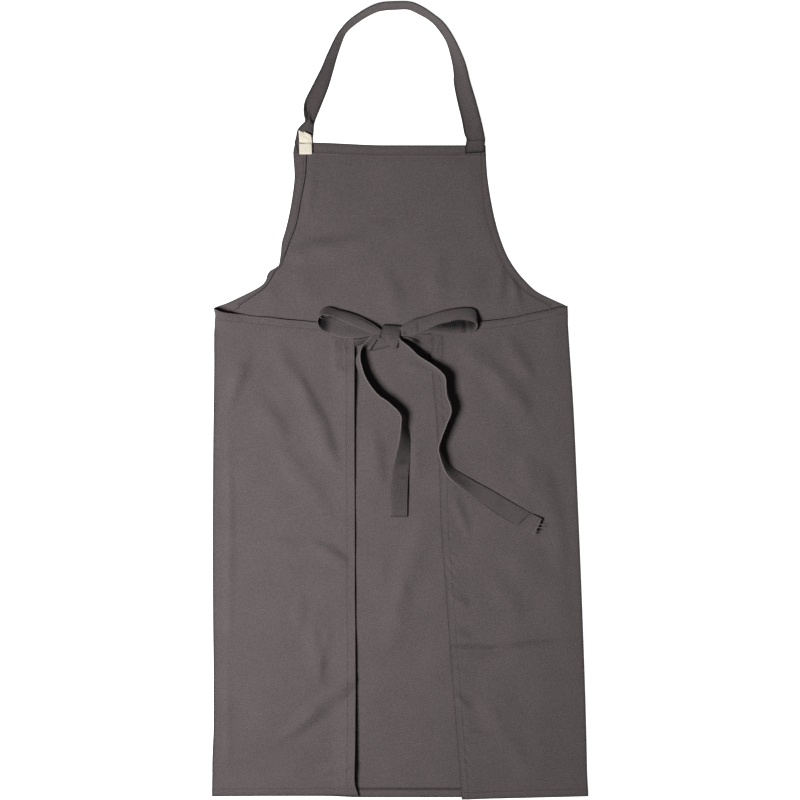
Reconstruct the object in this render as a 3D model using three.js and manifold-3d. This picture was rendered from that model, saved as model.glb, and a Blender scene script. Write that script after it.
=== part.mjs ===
// A bib apron that wraps round the wearer, laid on a floor with its inside up.
// Both back panels are folded over the front panel, and the waist ties are tied in a bow.
// Millimetres, +Z up, +Y towards the neck. The origin is on the floor under the middle of the apron.
import * as THREE from "three";
import { mergeVertices } from "three/addons/utils/BufferGeometryUtils.js";
import Module from "manifold-3d";

// Thicknesses and widths of the cloth and the straps
const CLOTH = 1.0;
const HEM_PLY = 1.0;
const TAPE = 1.6;
const LABEL = 1.0;
const GAP = 0.35;

// Outline of the folded apron
const HEM_Y = -538.5;
const WAIST_Y = 128;
const BIB_TOP_Y = 347;
const SKIRT_LENGTH = WAIST_Y - HEM_Y;
const WRAP_WIDTH = 190;

// Turned hems: width of each one, and how fast its edge steps down to the single cloth
const BOTTOM_HEM = 11;
const EDGE_HEM = 12;
const BIB_HEM = 13;
const LEFT_ARMHOLE_HEM = 12;
const RIGHT_ARMHOLE_HEM = 8;
const HEM_STEP = 1;

// Heights of the middle of the cloth: front panel on the floor, back panels lying on it
const FRONT_Z = CLOTH / 2;
const WRAP_Z = 2.3;
const WRAP_HEM_RISE = 1.9;
const WRAP_EDGE_RISE = 1.0;
const ROOT_RISE = 3.4;
const ROOT_NEAR = 24;
const ROOT_FAR = 60;
const LIFT_REACH = 30;
const FLAT_BY_FOLD = 0.15;

// Mesh density
const SKIRT_ROWS = 24;
const BIB_ROWS = 12;
const WRAP_COLUMNS = 12;
const FRONT_COLUMNS = 14;
const FOLD_SIDES = 4;

const table = (columns, rows) => {
  const names = columns.split(" ");
  return rows.map((row) => Object.fromEntries(names.map((name, i) => [name, row[i]])));
};

// Side folds of the skirt
const LEFT_SIDE = table("y x", [
  [-538.5, -253.5], [-54, -253], [82, -251.5], [128, -247.5],
]);
const RIGHT_SIDE = table("y x", [
  [-538.5, 253], [-272, 244.8], [-136, 239.3], [0, 232.5], [82, 227], [128, 225.5],
]);

// Free edges of the back panels
const LEFT_FREE = table("y x", [
  [-540, -58.5], [-517, -60.5], [-218, -61.2], [-68, -61.9], [128, -62],
]);
const RIGHT_FREE = table("y x", [
  [-541, 83.5], [-468, 79.3], [-351, 69.9], [-218, 61.2], [-102, 54.4], [-20, 49], [34, 43.5], [128, 42],
]);

// Top edge of a back panel: how far it drops from the side fold to the free edge
const TOP_DROP = table("share drop", [
  [0, 0], [0.12, 8], [0.28, 14], [0.6, 20.5], [1, 29],
]);

// Control points of the armhole curves, from the top of the bib to the side fold
const ARMHOLE = table("y left right", [
  [BIB_TOP_Y, -143, 115.5], [224, -140, 115.5], [155, -166, 147], [WAIST_Y, -247.5, 225.5],
]);

// Soft folds: ridges with their two ends, half width and height
const FRONT_FOLDS = table("x0 y0 x1 y1 half height", [
  [-136, 218, -82, 222, 18, 2.0],
  [-136, 166, -130, 140, 14, 1.8],
  [52, 166, 56, 138, 16, 1.8],
  [129, 206, 134, 138, 14, 2.0],
  [-27, -50, -20, -92, 12, 1.4],
  [34, -190, 7, -272, 16, 1.8],
]);
const LEFT_FOLDS = table("x0 y0 x1 y1 half height", [
  [-140, 46, -75, -66, 16, 2.6],
  [-178, 4, -136, -92, 22, 1.8],
  [-190, 72, -244, -38, 20, 2.4],
  [-168, -184, -78, -212, 15, 2.0],
  [-223, -160, -223, -500, 15, 1.8],
  [-72, -386, -166, -452, 16, 2.2],
  [-110, -330, -101, -370, 13, 1.6],
]);
const RIGHT_FOLDS = table("x0 y0 x1 y1 half height", [
  [163, 80, 198, -4, 22, 2.2],
  [68, -333, 140, -338, 14, 2.0],
  [140, -330, 206, -323, 14, 1.8],
  [196, -110, 216, -210, 22, 1.6],
]);

// Straps as rungs from their lower edge to their upper edge: places of both edges in plan, height of
// the lower edge and width of the strap, which set the height of the upper edge
const RUNG = "upX upY loX loY z width";
const NECK_STRAP = table(RUNG, [
  [115, 335.5, 90, 335.5, 3.3, 25],
  [115, 352, 90, 352, 3.3, 25],
  [109, 384, 85, 378, 1.4, 25],
  [95, 434, 75, 430, 1.2, 25],
  [77, 486, 64, 481, 1.2, 25],
  [42, 526, 37, 518, 1.2, 25],
  [-14, 542, -13, 531, 1.2, 25],
  [-58, 523, -52, 515, 1.2, 25],
  [-89, 488, -80, 482, 1.2, 25],
  [-112, 440, -95, 433, 1.2, 25],
  [-126, 410, -106, 404, 1.4, 24],
  [-128, 381, -117, 378, 2.6, 12],
  [-142, 354, -118, 354, 3.3, 24],
  [-141, 336, -117.5, 336, 3.3, 23.5],
]);
const LEFT_LOOP = table(RUNG, [
  [-31, 88, -29, 94, 11, 9],
  [-44, 91, -36, 103, 9, 18],
  [-65, 98.5, -56, 116, 7.5, 24],
  [-82, 106.5, -75, 123, 7.5, 25],
  [-97, 113.5, -91, 127, 7.5, 25],
  [-107, 116, -103, 126, 7.5, 25],
  [-111, 108, -108, 119, 7.5, 25],
  [-109, 97, -106, 113, 7.5, 25],
  [-99, 91, -98, 111, 7.5, 25],
  [-83, 85.5, -82, 109.5, 7.5, 25],
  [-62, 83.5, -61, 105, 7.5, 21.5],
  [-46, 84.5, -43, 97, 8, 13],
  [-31, 86, -30, 92.5, 10, 7],
]);
const LEFT_TAIL = table(RUNG, [
  [-31, 90, -34, 85, 8, 10],
  [-48, 76.5, -53.5, 74, 6, 22],
  [-53, 68, -58.5, 66.5, 6.4, 25],
  [-51.5, 57, -59.5, 54.5, 6.6, 25],
  [-48, 40, -56, 38, 5, 25],
  [-32, 10, -36, 6, 2.2, 25],
  [-10, -7.5, -11, -9, 2, 25],
  [2.7, -26, 8, -28, 2, 25],
  [1, -50, 13.5, -52, 2, 25],
  [-6, -82, 13, -84, 2, 24.5],
  [-11, -113, 11, -114, 2.2, 24],
  [-11.5, -158, 10.5, -158, 2.6, 23],
]);
const LEFT_ROOT = table(RUNG, [
  [-77, 98, -77, 74, 2.4, 24],
  [-62, 98, -62, 74, 2.8, 24],
  [-48, 92, -48, 78, 4, 15],
  [-30, 93, -30, 87, 9.5, 7],
]);
const RIGHT_LOOP = table(RUNG, [
  [5, 87, 4, 98, 9.5, 12],
  [20, 88.5, 16, 108, 8.5, 21],
  [39, 98, 36.5, 115, 7.5, 23],
  [60, 105, 58.5, 121, 7.5, 25],
  [79, 109.5, 80, 124.5, 7.5, 25],
  [94, 108.5, 95, 126, 7.5, 25],
  [102, 104, 102, 123, 7.5, 25],
  [105.5, 99, 104.5, 117.5, 7.5, 25],
  [101, 93, 100.5, 113, 7.5, 25],
  [87, 89, 86, 112, 7.5, 25],
  [65, 89, 65, 111.5, 7, 23],
  [41, 90, 41, 106, 7, 17],
  [8, 88, 6, 97, 9, 10],
]);
const RIGHT_TAIL = table(RUNG, [
  [1, 86, -4, 77, 8, 13],
  [11, 72, 4, 63, 5, 20],
  [23.5, 60, 15.5, 51, 3, 25],
  [41, 47.5, 35, 39, 5.6, 25],
  [55, 36, 50, 30, 6.4, 25],
  [62, 22, 59.5, 19, 5.6, 25],
  [65.5, -5, 68, -4, 5, 25],
  [69, -18, 70, -17, 5, 25],
  [60, -40, 61, -41, 5, 25],
  [52, -68, 54.5, -69, 5, 25],
  [64, -101, 71, -97, 5, 25],
  [104, -136, 114, -119.5, 5, 25],
  [154, -166, 165, -145, 6, 25],
  [182, -182.5, 192.5, -160, 7.5, 25],
]);
const RIGHT_ROOT = table(RUNG, [
  [58, 92, 58, 67, 2.4, 25],
  [42, 92, 42, 67, 2.8, 25],
  [26, 91, 26, 74, 4, 18],
  [4, 94, 4, 86, 9, 9],
]);
const CORNER_LABEL = table(RUNG, [
  [-137.5, 334, -119.7, 334, 5.1, 17.8],
  [-138, 348, -119.7, 348, 5.1, 18.3],
  [-138.7, 365.8, -120.4, 358.4, 7, 19.5],
]);

// Knot: upright sections across the bow, from its left end to its right end
const KNOT = table("x y halfY z halfZ", [
  [-25, 94, 9.5, 11, 6],
  [-16, 89, 14, 11.5, 8],
  [-7, 86, 17, 11.5, 8.5],
  [0, 92, 10, 10.5, 7],
  [5, 92, 5.5, 10, 3.5],
]);

// Hollow of the knot, open to the left, which holds the core of the left tie
const HOLLOW = { from: -35, to: -8, y: 92, halfY: 6.5, z: 10.5, halfZ: 4 };
const CORE_FROM = -32;
const KNOT_SIDES = 16;
const STRAP_STEP = 10;

const wasm = await Module();
wasm.setup();

const smooth = (low, high, value) => THREE.MathUtils.smoothstep(value, low, high);
const lerp = THREE.MathUtils.lerp;

// Value of a table's column at a key, on straight lines between its rows
function lookUp(rows, key, column, at) {
  const last = rows.length - 1;
  let next = rows.findIndex((row) => row[key] >= at);
  if (next < 0) next = last;
  next = Math.max(next, 1);
  const from = rows[next - 1];
  const to = rows[next];
  const share = THREE.MathUtils.clamp((at - from[key]) / (to[key] - from[key]), 0, 1);
  return lerp(from[column], to[column], share);
}

// Height of the soft folds at a place: each ridge has a round top and runs out at its ends
function foldHeight(folds, x, y) {
  let height = 0;
  for (const fold of folds) {
    const run = new THREE.Vector2(fold.x1 - fold.x0, fold.y1 - fold.y0);
    const away = new THREE.Vector2(x - fold.x0, y - fold.y0);
    const along = THREE.MathUtils.clamp(away.dot(run) / run.lengthSq(), 0, 1);
    const distance = away.addScaledVector(run, -along).length();
    const reach = Math.min(distance / fold.half, 1);
    height = Math.max(height, fold.height * Math.cos((reach * Math.PI) / 2) ** 2);
  }
  return height;
}

// Shares along a length, with a pair of lines where each end's hem steps down
function stations(length, startHem, endHem, count) {
  const shares = [0];
  if (startHem) shares.push(startHem / length, (startHem + HEM_STEP) / length);
  const first = shares[shares.length - 1];
  const tail = endHem ? [1 - (endHem + HEM_STEP) / length, 1 - endHem / length, 1] : [1];
  for (let i = 1; i < count; i += 1) shares.push(lerp(first, tail[0], i / count));
  return shares.concat(tail);
}

// Closed solid of a sheet: quads of points on the middle of the wall, each with its extra ply on the
// side that the quads face
function thicken(quads, thickness) {
  const indexOf = new Map();
  const points = [];
  const idOf = (point) => {
    const key = [point.x, point.y, point.z].map((v) => v.toFixed(3)).join(" ");
    if (!indexOf.has(key)) {
      indexOf.set(key, points.length);
      points.push({ ...point, normal: new THREE.Vector3() });
    }
    return indexOf.get(key);
  };
  const faces = quads.map((quad) => quad.map(idOf));
  const place = (id) => new THREE.Vector3(points[id].x, points[id].y, points[id].z);
  const rims = new Map();
  for (const [a, b, c, d] of faces) {
    const across = place(c).sub(place(a));
    const normal = across.cross(place(d).sub(place(b))).normalize();
    for (const id of [a, b, c, d]) points[id].normal.add(normal);
    for (const [from, to] of [[a, b], [b, c], [c, d], [d, a]]) {
      if (!rims.delete(`${to} ${from}`)) rims.set(`${from} ${to}`, [from, to]);
    }
  }
  const positions = [];
  for (const side of [1, -1]) {
    for (const point of points) {
      const offset = side * (thickness / 2 + (side > 0 ? point.ply || 0 : 0));
      const normal = point.normal.clone().normalize();
      positions.push(point.x + normal.x * offset, point.y + normal.y * offset, point.z + normal.z * offset);
    }
  }
  const under = points.length;
  const index = [];
  for (const [a, b, c, d] of faces) {
    index.push(a, b, c, a, c, d);
    index.push(under + a, under + c, under + b, under + a, under + d, under + c);
  }
  for (const [from, to] of rims.values()) {
    index.push(under + from, under + to, to, under + from, to, from);
  }
  const geometry = new THREE.BufferGeometry();
  geometry.setAttribute("position", new THREE.Float32BufferAttribute(positions, 3));
  geometry.setIndex(index);
  return geometry;
}

// Quads between the neighbouring rows and columns of a grid of points
function gridQuads(grid) {
  const quads = [];
  for (let r = 0; r + 1 < grid.length; r += 1) {
    for (let c = 0; c + 1 < grid[r].length; c += 1) {
      quads.push([grid[r][c], grid[r][c + 1], grid[r + 1][c + 1], grid[r + 1][c]]);
    }
  }
  return quads;
}

// A back panel's point, by its share from side fold to free edge and from hem to top edge
function wrapPoint(side, share, up) {
  const topY = WAIST_Y - lookUp(TOP_DROP, "share", "drop", share);
  const y = lerp(HEM_Y + side.hemDrop * share, topY, up);
  const foldX = lookUp(side.fold, "y", "x", lerp(HEM_Y, WAIST_Y, up));
  const x = lerp(foldX, lookUp(side.free, "y", "x", y), share);
  const aboveHem = y - HEM_Y;
  const toFree = Math.abs(lookUp(side.free, "y", "x", y) - x);
  const toTop = topY - y;
  const toRoot = Math.hypot(toFree, y - side.rootY);
  const offFold = smooth(0, FLAT_BY_FOLD, share);
  const offHem = smooth(BOTTOM_HEM, 5 * BOTTOM_HEM, aboveHem);
  let z = WRAP_Z + foldHeight(side.folds, x, y) * offFold * offHem;
  z += WRAP_HEM_RISE * (1 - offHem);
  const edge = 1 - smooth(EDGE_HEM, 3 * EDGE_HEM, Math.min(toFree, toTop));
  const root = 1 - smooth(ROOT_NEAR, ROOT_FAR, toRoot);
  z += offFold * Math.max(WRAP_EDGE_RISE * edge, ROOT_RISE * root);
  z += side.edgeLift * (1 - smooth(0, LIFT_REACH, toFree)) * offHem * (1 - root);
  const reach = HEM_STEP / 2;
  const onEdge = toFree < EDGE_HEM + reach || (toTop < EDGE_HEM + reach && offFold > 0);
  const onHem = onEdge || aboveHem < BOTTOM_HEM + reach;
  return { x, y, z, ply: onHem ? HEM_PLY : 0 };
}

// The cloth of the apron: from one free edge over the side fold, the front and the other fold
function apronBody() {
  const left = {
    fold: LEFT_SIDE, free: LEFT_FREE, folds: LEFT_FOLDS, hemDrop: 1.5, rootY: 86, edgeLift: 1.6,
  };
  const right = {
    fold: RIGHT_SIDE, free: RIGHT_FREE, folds: RIGHT_FOLDS, hemDrop: -2.5, rootY: 80, edgeLift: 0.4,
  };
  const ups = stations(SKIRT_LENGTH, BOTTOM_HEM, EDGE_HEM, SKIRT_ROWS);
  const shares = stations(WRAP_WIDTH, 0, EDGE_HEM, WRAP_COLUMNS);
  const armhole = (name) =>
    new THREE.CubicBezierCurve(...ARMHOLE.map((row) => new THREE.Vector2(row[name], row.y)));
  const leftCurve = armhole("left");
  const rightCurve = armhole("right");

  // Level width of an armhole's hem where its curve has a given slope
  const levelHem = (curve, t, width) => width / Math.abs(curve.getTangent(t).y);

  // A row of the front from its left end to its right end
  function frontRow(y, xLeft, xRight, t, plyAt) {
    const leftHem = levelHem(leftCurve, t, LEFT_ARMHOLE_HEM);
    const rightHem = levelHem(rightCurve, t, RIGHT_ARMHOLE_HEM);
    const xs = [xLeft, xLeft + leftHem, xLeft + leftHem + HEM_STEP];
    const end = xRight - rightHem - HEM_STEP;
    for (let i = 1; i < FRONT_COLUMNS; i += 1) {
      xs.push(lerp(xLeft + leftHem + HEM_STEP, end, i / FRONT_COLUMNS));
    }
    xs.push(end, xRight - rightHem, xRight);
    const last = xs.length - 1;
    return xs.map((x, i) => {
      const onEdge = i < 2 || i > last - 2;
      return { x, y, z: FRONT_Z + foldHeight(FRONT_FOLDS, x, y), ply: plyAt(onEdge) };
    });
  }

  // Half-round side fold from the front up to the back panel, or down again
  function foldArc(x, y, wrapZ, outward, ply) {
    const radius = (wrapZ - FRONT_Z) / 2;
    const points = [];
    for (let i = 1; i < FOLD_SIDES; i += 1) {
      const angle = (i / FOLD_SIDES) * Math.PI;
      points.push({
        x: x + outward * radius * Math.sin(angle),
        y,
        z: FRONT_Z + radius - radius * Math.cos(angle),
        ply,
      });
    }
    return points;
  }

  const skirt = ups.map((up) => {
    const y = lerp(HEM_Y, WAIST_Y, up);
    const leftWrap = shares.map((share) => wrapPoint(left, share, up));
    const rightWrap = shares.map((share) => wrapPoint(right, share, up));
    const ply = y - HEM_Y < BOTTOM_HEM + HEM_STEP / 2 ? HEM_PLY : 0;
    const front = frontRow(y, leftWrap[0].x, rightWrap[0].x, 1, () => ply);
    const leftArc = foldArc(leftWrap[0].x, y, leftWrap[0].z, -1, ply);
    const rightArc = foldArc(rightWrap[0].x, y, rightWrap[0].z, 1, ply);
    return [...leftWrap.reverse(), ...leftArc.reverse(), ...front, ...rightArc, ...rightWrap];
  });

  const topHemShare = BIB_HEM / (3 * (ARMHOLE[0].y - ARMHOLE[1].y));
  const bibShares = [];
  for (let i = 1; i < BIB_ROWS; i += 1) bibShares.push(1 - i / BIB_ROWS);
  bibShares.push(topHemShare * (1 + HEM_STEP / BIB_HEM), topHemShare, 0);
  const bib = bibShares.map((t, i) => {
    const from = leftCurve.getPoint(t);
    const to = rightCurve.getPoint(t);
    const topHem = t <= topHemShare;
    return frontRow(from.y, from.x, to.x, t, (onEdge) => (topHem || (onEdge && i > 0) ? HEM_PLY : 0));
  });
  const start = shares.length + FOLD_SIDES - 1;
  const waist = skirt[skirt.length - 1].slice(start, start + bib[0].length);
  return thicken([...gridQuads(skirt), ...gridQuads([waist, ...bib])], CLOTH);
}

// Flat strap through its rungs
function strap(rows, thickness) {
  const upper = [];
  const lower = [];
  for (const row of rows) {
    const level = Math.hypot(row.upX - row.loX, row.upY - row.loY);
    const rise = Math.sqrt(Math.max(0, row.width ** 2 - level ** 2));
    upper.push(new THREE.Vector3(row.upX, row.upY, row.z + rise));
    lower.push(new THREE.Vector3(row.loX, row.loY, row.z));
  }
  const upperEdge = new THREE.CatmullRomCurve3(upper, false, "catmullrom", 0.5);
  const lowerEdge = new THREE.CatmullRomCurve3(lower, false, "catmullrom", 0.5);
  const steps = Math.ceil(lowerEdge.getLength() / STRAP_STEP) + rows.length;
  const grid = [];
  for (let i = 0; i <= steps; i += 1) {
    const low = lowerEdge.getPoint(i / steps);
    const high = upperEdge.getPoint(i / steps);
    const middle = low.clone().lerp(high, 0.5);
    grid.push([low, middle, high].map(({ x, y, z }) => ({ x, y, z })));
  }
  return thicken(gridQuads(grid), thickness);
}

// Rounded lump through upright sections across the bow
function lump(rows, sides) {
  const positions = [];
  for (const row of rows) {
    for (let i = 0; i < sides; i += 1) {
      const angle = (i / sides) * 2 * Math.PI;
      positions.push(row.x, row.y + row.halfY * Math.cos(angle), row.z + row.halfZ * Math.sin(angle));
    }
  }
  const ends = [rows[0], rows[rows.length - 1]];
  for (const end of ends) positions.push(end.x, end.y, end.z);
  const first = rows.length * sides;
  const last = first + 1;
  const index = [];
  for (let i = 0; i < sides; i += 1) {
    const next = (i + 1) % sides;
    for (let r = 0; r + 1 < rows.length; r += 1) {
      const a = r * sides + i;
      const b = r * sides + next;
      index.push(a, b, b + sides, a, b + sides, a + sides);
    }
    const end = (rows.length - 1) * sides;
    index.push(first, next, i, last, end + i, end + next);
  }
  const geometry = new THREE.BufferGeometry();
  geometry.setAttribute("position", new THREE.Float32BufferAttribute(positions, 3));
  geometry.setIndex(index);
  return geometry;
}

// Solid for joins and cuts
function solid(geometry) {
  const merged = mergeVertices(geometry, 1e-3);
  return new wasm.Manifold(
    new wasm.Mesh({
      numProp: 3,
      vertProperties: new Float32Array(merged.attributes.position.array),
      triVerts: new Uint32Array(merged.index.array),
    }),
  );
}

function geometryOf(made) {
  const { vertProperties, triVerts } = made.getMesh();
  const geometry = new THREE.BufferGeometry();
  geometry.setAttribute("position", new THREE.BufferAttribute(vertProperties, 3));
  geometry.setIndex(new THREE.BufferAttribute(triVerts, 1));
  return geometry;
}

// The left tie passes through the wrap of the knot, which belongs to the right tie
function knotCore(from, to, gap) {
  const { y, halfY, z, halfZ } = HOLLOW;
  const section = { y, halfY: halfY - gap, z, halfZ: halfZ - gap };
  return solid(lump([{ x: from, ...section }, { x: to, ...section }], KNOT_SIDES));
}

function leftTie() {
  let made = knotCore(CORE_FROM, HOLLOW.to - GAP, GAP);
  for (const rows of [LEFT_ROOT, LEFT_LOOP, LEFT_TAIL]) made = made.add(solid(strap(rows, TAPE)));
  return geometryOf(made);
}

function rightTie() {
  let made = solid(lump(KNOT, KNOT_SIDES));
  for (const rows of [RIGHT_ROOT, RIGHT_LOOP, RIGHT_TAIL]) made = made.add(solid(strap(rows, TAPE)));
  return geometryOf(made.subtract(knotCore(HOLLOW.from, HOLLOW.to, 0)));
}

const cloth = { color: 0x5f5758, roughness: 0.95, metalness: 0 };
const cream = { color: 0xe8e1cd, roughness: 0.9, metalness: 0 };

const apron = new THREE.Group();
function addPiece(name, geometry, look) {
  const mesh = new THREE.Mesh(geometry, new THREE.MeshStandardMaterial(look));
  mesh.geometry.computeVertexNormals();
  mesh.name = name;
  apron.add(mesh);
}
addPiece("apron_body", apronBody(), cloth);
addPiece("neck_strap", strap(NECK_STRAP, TAPE), cloth);
addPiece("waist_tie_left", leftTie(), cloth);
addPiece("waist_tie_right", rightTie(), cloth);
addPiece("corner_label", strap(CORNER_LABEL, LABEL), cream);

export default apron;
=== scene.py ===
import math

import bpy
import numpy as np
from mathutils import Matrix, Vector


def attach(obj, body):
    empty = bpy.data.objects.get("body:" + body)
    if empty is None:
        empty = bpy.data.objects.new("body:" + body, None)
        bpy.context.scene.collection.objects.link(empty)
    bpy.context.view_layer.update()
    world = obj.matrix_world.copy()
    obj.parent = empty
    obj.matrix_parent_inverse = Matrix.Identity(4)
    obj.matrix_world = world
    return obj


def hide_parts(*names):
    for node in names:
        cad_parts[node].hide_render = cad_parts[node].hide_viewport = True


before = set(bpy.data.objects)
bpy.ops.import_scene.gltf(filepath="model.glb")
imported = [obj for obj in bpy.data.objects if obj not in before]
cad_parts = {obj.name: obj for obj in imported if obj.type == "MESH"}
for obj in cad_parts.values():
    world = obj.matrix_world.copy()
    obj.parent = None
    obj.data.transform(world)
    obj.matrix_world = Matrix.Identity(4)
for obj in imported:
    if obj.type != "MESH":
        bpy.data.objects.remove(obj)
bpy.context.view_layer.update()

# Camera: the apron lies on the floor and is looked at from straight above.
# The picture is square, and its middle is over the origin of the frame.
PICTURE_SIDE = 1.088
CAMERA_HEIGHT = 3.0
SENSOR = 36.0
VIEW_REACH = 120.0

scene = bpy.context.scene
camera = bpy.data.objects.new("camera", bpy.data.cameras.new("camera"))
camera.data.sensor_width = SENSOR
camera.data.lens = SENSOR * CAMERA_HEIGHT / PICTURE_SIDE
camera.data.clip_end = VIEW_REACH
camera.location = (0.0, 0.0, CAMERA_HEIGHT)
scene.collection.objects.link(camera)
scene.camera = camera

# Apron cloth: one cut of washed cotton twill that makes the bib, the front panel and both back panels.
# It lies with its inside up, and the back panels are folded over the front along the side folds.
# Every edge is turned in once and sewn down, so the inside shows the hems as a second ply.
MM = 0.001
CLOTH = 0.8
HEM_PLY = 1.0
HEM_Y = -538.5
WAIST_Y = 128.0
BIB_TOP_Y = 346.4
BIB_TOP_RISE = 3.6
WRAP_WIDTH = 190.0
FRONT_Z = 0.55
WRAP_Z = 2.0
BOTTOM_HEM = 11.5
EDGE_HEM = 12.0
BIB_HEM = 15.2
SEW_IN = 1.6
ROUNDED = 1.6
EDGE_LEAST = 0.3
WEAR_AND_SHADE_DEPTH = 1.4
# Painted shade: a dark rim where the cloth's edges and side folds meet the floor
PAINTED_EDGE_SHADE = 5.2
LAMP_X = -0.6
LAMP_Y = -0.3


def table(columns, *rows):
    return dict(zip(columns.split(), np.array(rows, float).T))


# Side folds and free edges of the back panels, from the bottom hem to the waist
left_side = table(
    "y x",
    (-538.5, -253.7), (-493, -254.3), (-450, -252.6), (-400, -252.4), (-354, -252.6), (-300, -253.2),
    (-54, -253), (60, -251.7), (86, -251.8), (100, -251.3), (110, -248.9), (119, -245.8), (128, -246.2),
)
right_side = table(
    "y x",
    (-538.5, 254), (-440, 251.9), (-272, 246.2), (-136, 240.5), (0, 234.1), (82, 228.6), (128, 225.7),
)
left_free = table(
    "y x",
    (-545, -54.4), (-534, -57.4), (-523, -60.8), (-512, -61.8), (-504, -61.6), (-477, -61), (-436, -60.7),
    (-395, -60.4), (-354, -60.6), (-313, -60.8), (-273, -61.4), (-218, -61.4), (-68, -61.9), (128, -61.8),
)
right_free = table(
    "y x",
    (-545, 83.8), (-490, 79.3), (-435, 75), (-381, 70.8), (-326, 66.6), (-272, 62.8), (-218, 58.6),
    (-163, 55), (-102, 53.4), (-20, 48.6), (34, 43.5), (128, 42),
)

# Slope of the top edges from the side fold to the free edge
left_top = table(
    "share drop",
    (0, 7), (0.028, 9), (0.066, 10), (0.1, 10.8), (0.17, 11.8), (0.256, 14.3), (0.384, 16.2),
    (0.455, 18.1), (0.59, 20.2), (0.71, 22.3), (1, 27),
)
right_top = table(
    "share drop",
    (0, 0), (0.05, 1.4), (0.13, 5.1), (0.21, 8.3), (0.29, 11.2), (0.39, 15.5), (0.5, 18.4), (0.6, 20.7),
    (1, 27),
)

# How far the free edges stand up from the front
left_curl = table(
    "y lift",
    (-545, 3), (-530, 5), (-517, 8), (-469, 8.4), (-415, 5.6), (-360, 3.9), (-310, 3.2), (-279, 2.1),
    (-197, 2), (-109, 1.4), (-55, 3.6), (-1, 5.6), (40, 9), (58, 9.5), (66, 8), (76, 2), (84, 0.4),
    (128, 0.4),
)
right_curl = table("y lift", (-545, 1.2), (128, 1.2))

# Armholes from the waist to the top of the bib, with the level width of their hems
left_armhole = table(
    "y x hem",
    (118, -245.8, 11.5), (128, -246.2, 27), (131.2, -237, 22.8), (137.8, -222.6, 18),
    (143.6, -210.5, 14.4), (150.1, -197.6, 10.8), (156.7, -187.2, 7), (163.7, -182.2, 6.5),
    (170.3, -180.4, 8), (175.4, -177.2, 7.6), (182, -166, 4), (190, -163.7, 4.8), (197, -162.5, 6.4),
    (213.5, -160.8, 10.4), (232.6, -155.4, 12.4), (277, -146.4, 12.9), (303, -143.5, 15),
    (318, -144.3, 16.8), (330, -145.2, 18.4), (338, -144.8, 18.8), (345, -142.6, 18.8), (352, -139.2, 18),
)
right_armhole = table(
    "y x hem",
    (118, 226.4, 8), (128, 225.7, 23), (134.6, 212, 21), (145.5, 189.3, 17.4), (163.2, 169.2, 15.4),
    (190.4, 148.9, 13.6), (217.6, 137.1, 13.2), (244.8, 129.2, 14.2), (272, 123.6, 12.4),
    (299, 119.4, 9.8), (352, 116, 7),
)

# Creases and soft folds: both ends of the crest, half width towards the lamp and away from it, and height
FOLD = "x0 y0 x1 y1 near far height"
front_folds = table(
    FOLD,
    (-150, 198, -60, 215, 24, 20, 5.2), (-76, 211, -18, 237, 22, 22, 2.6),
    (-23, 174, -3, 116, 24, 22, 3.0), (53, 188, 53, 116, 26, 11, 4.6),
    (-174, 160, -176, 128, 11, 10, 3.0), (-134, 178, -126, 118, 16, 16, 3.0),
    (139, 178, 135, 124, 16, 9, 3.0), (156, 160, 162, 120, 14, 8, 3.0),
    (-118, 330, -128, 238, 11, 11, 1.8), (6, 50, 30, 40, 9, 7, 2.6), (-38, -33, -27, -112, 17, 14, 4.4),
    (21.5, -52, 19, -112, 14, 13, 3.4), (30, -170, 2, -262, 24, 24, 3.4),
    (4, -255, -11, -330, 24, 24, 2.6), (-25, -215, -25, -245, 12, 12, 1.8),
)
left_folds = table(
    FOLD,
    (-168.5, 76.5, -128.5, 11.5, 24, 16, 3.4), (-132.6, 20, -85.6, -89, 28, 17, 7.0),
    (-192, 2, -160, -50, 28, 20, 3.8), (-165, -62, -97, -154, 26, 20, 3.2),
    (-206, 63.7, -245, -19.3, 18, 18, 6.0), (-233, -30, -233, -340, 10, 11, 3.2),
    (-235, -350, -235, -500, 9, 9, 2.6), (-200, -193, -110, -199, 16, 14, 3.0),
    (-118, -196, -76, -219, 18, 14, 5.8), (-118, -312, -108.5, -380, 18, 14, 4.6),
    (-135, -268, -137, -302, 16, 12, 2.4), (-97, -312, -109, -370, 12, 11, 2.0),
    (-58, -376, -164, -462, 18, 17, 6.2), (-166, -230, -134, -236, 14, 12, 1.8),
    (-104, -503, -64, -493, 13, 12, 4.0), (-88, 88, -88, 40, 9, 6.5, 2.8),
    (-92, 46, -72, 38, 8, 6.5, 2.4),
)
right_folds = table(
    FOLD,
    (91, 72, 128, 41, 26, 20, 2.8), (122, 44, 168, -6, 26, 20, 3.6), (164, -5, 180, -42, 26, 20, 1.4),
    (146, 84, 176, 34, 18, 15, 2.4), (76, -134, 93, -183, 12, 10, 2.0),
    (172, -80, 182, -122, 22, 18, 2.6), (194, -94, 218, -226, 24, 22, 3.0),
    (66, -335, 125, -336, 9, 6, 2.8), (118, -335, 205, -328, 9, 6, 2.6), (72, -349, 140, -344, 9, 7, 2.2),
    (70, -264, 90, -276, 9, 6.5, 2.0), (72, -311, 94, -320, 9, 6.5, 2.0),
    (72, -397, 92, -416, 10, 8, 2.6), (92, -447, 126, -453, 10, 8, 2.2),
    (110, -410, 170, -500, 24, 24, 2.2), (120, -230, 160, -290, 24, 24, 2.0),
)
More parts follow.
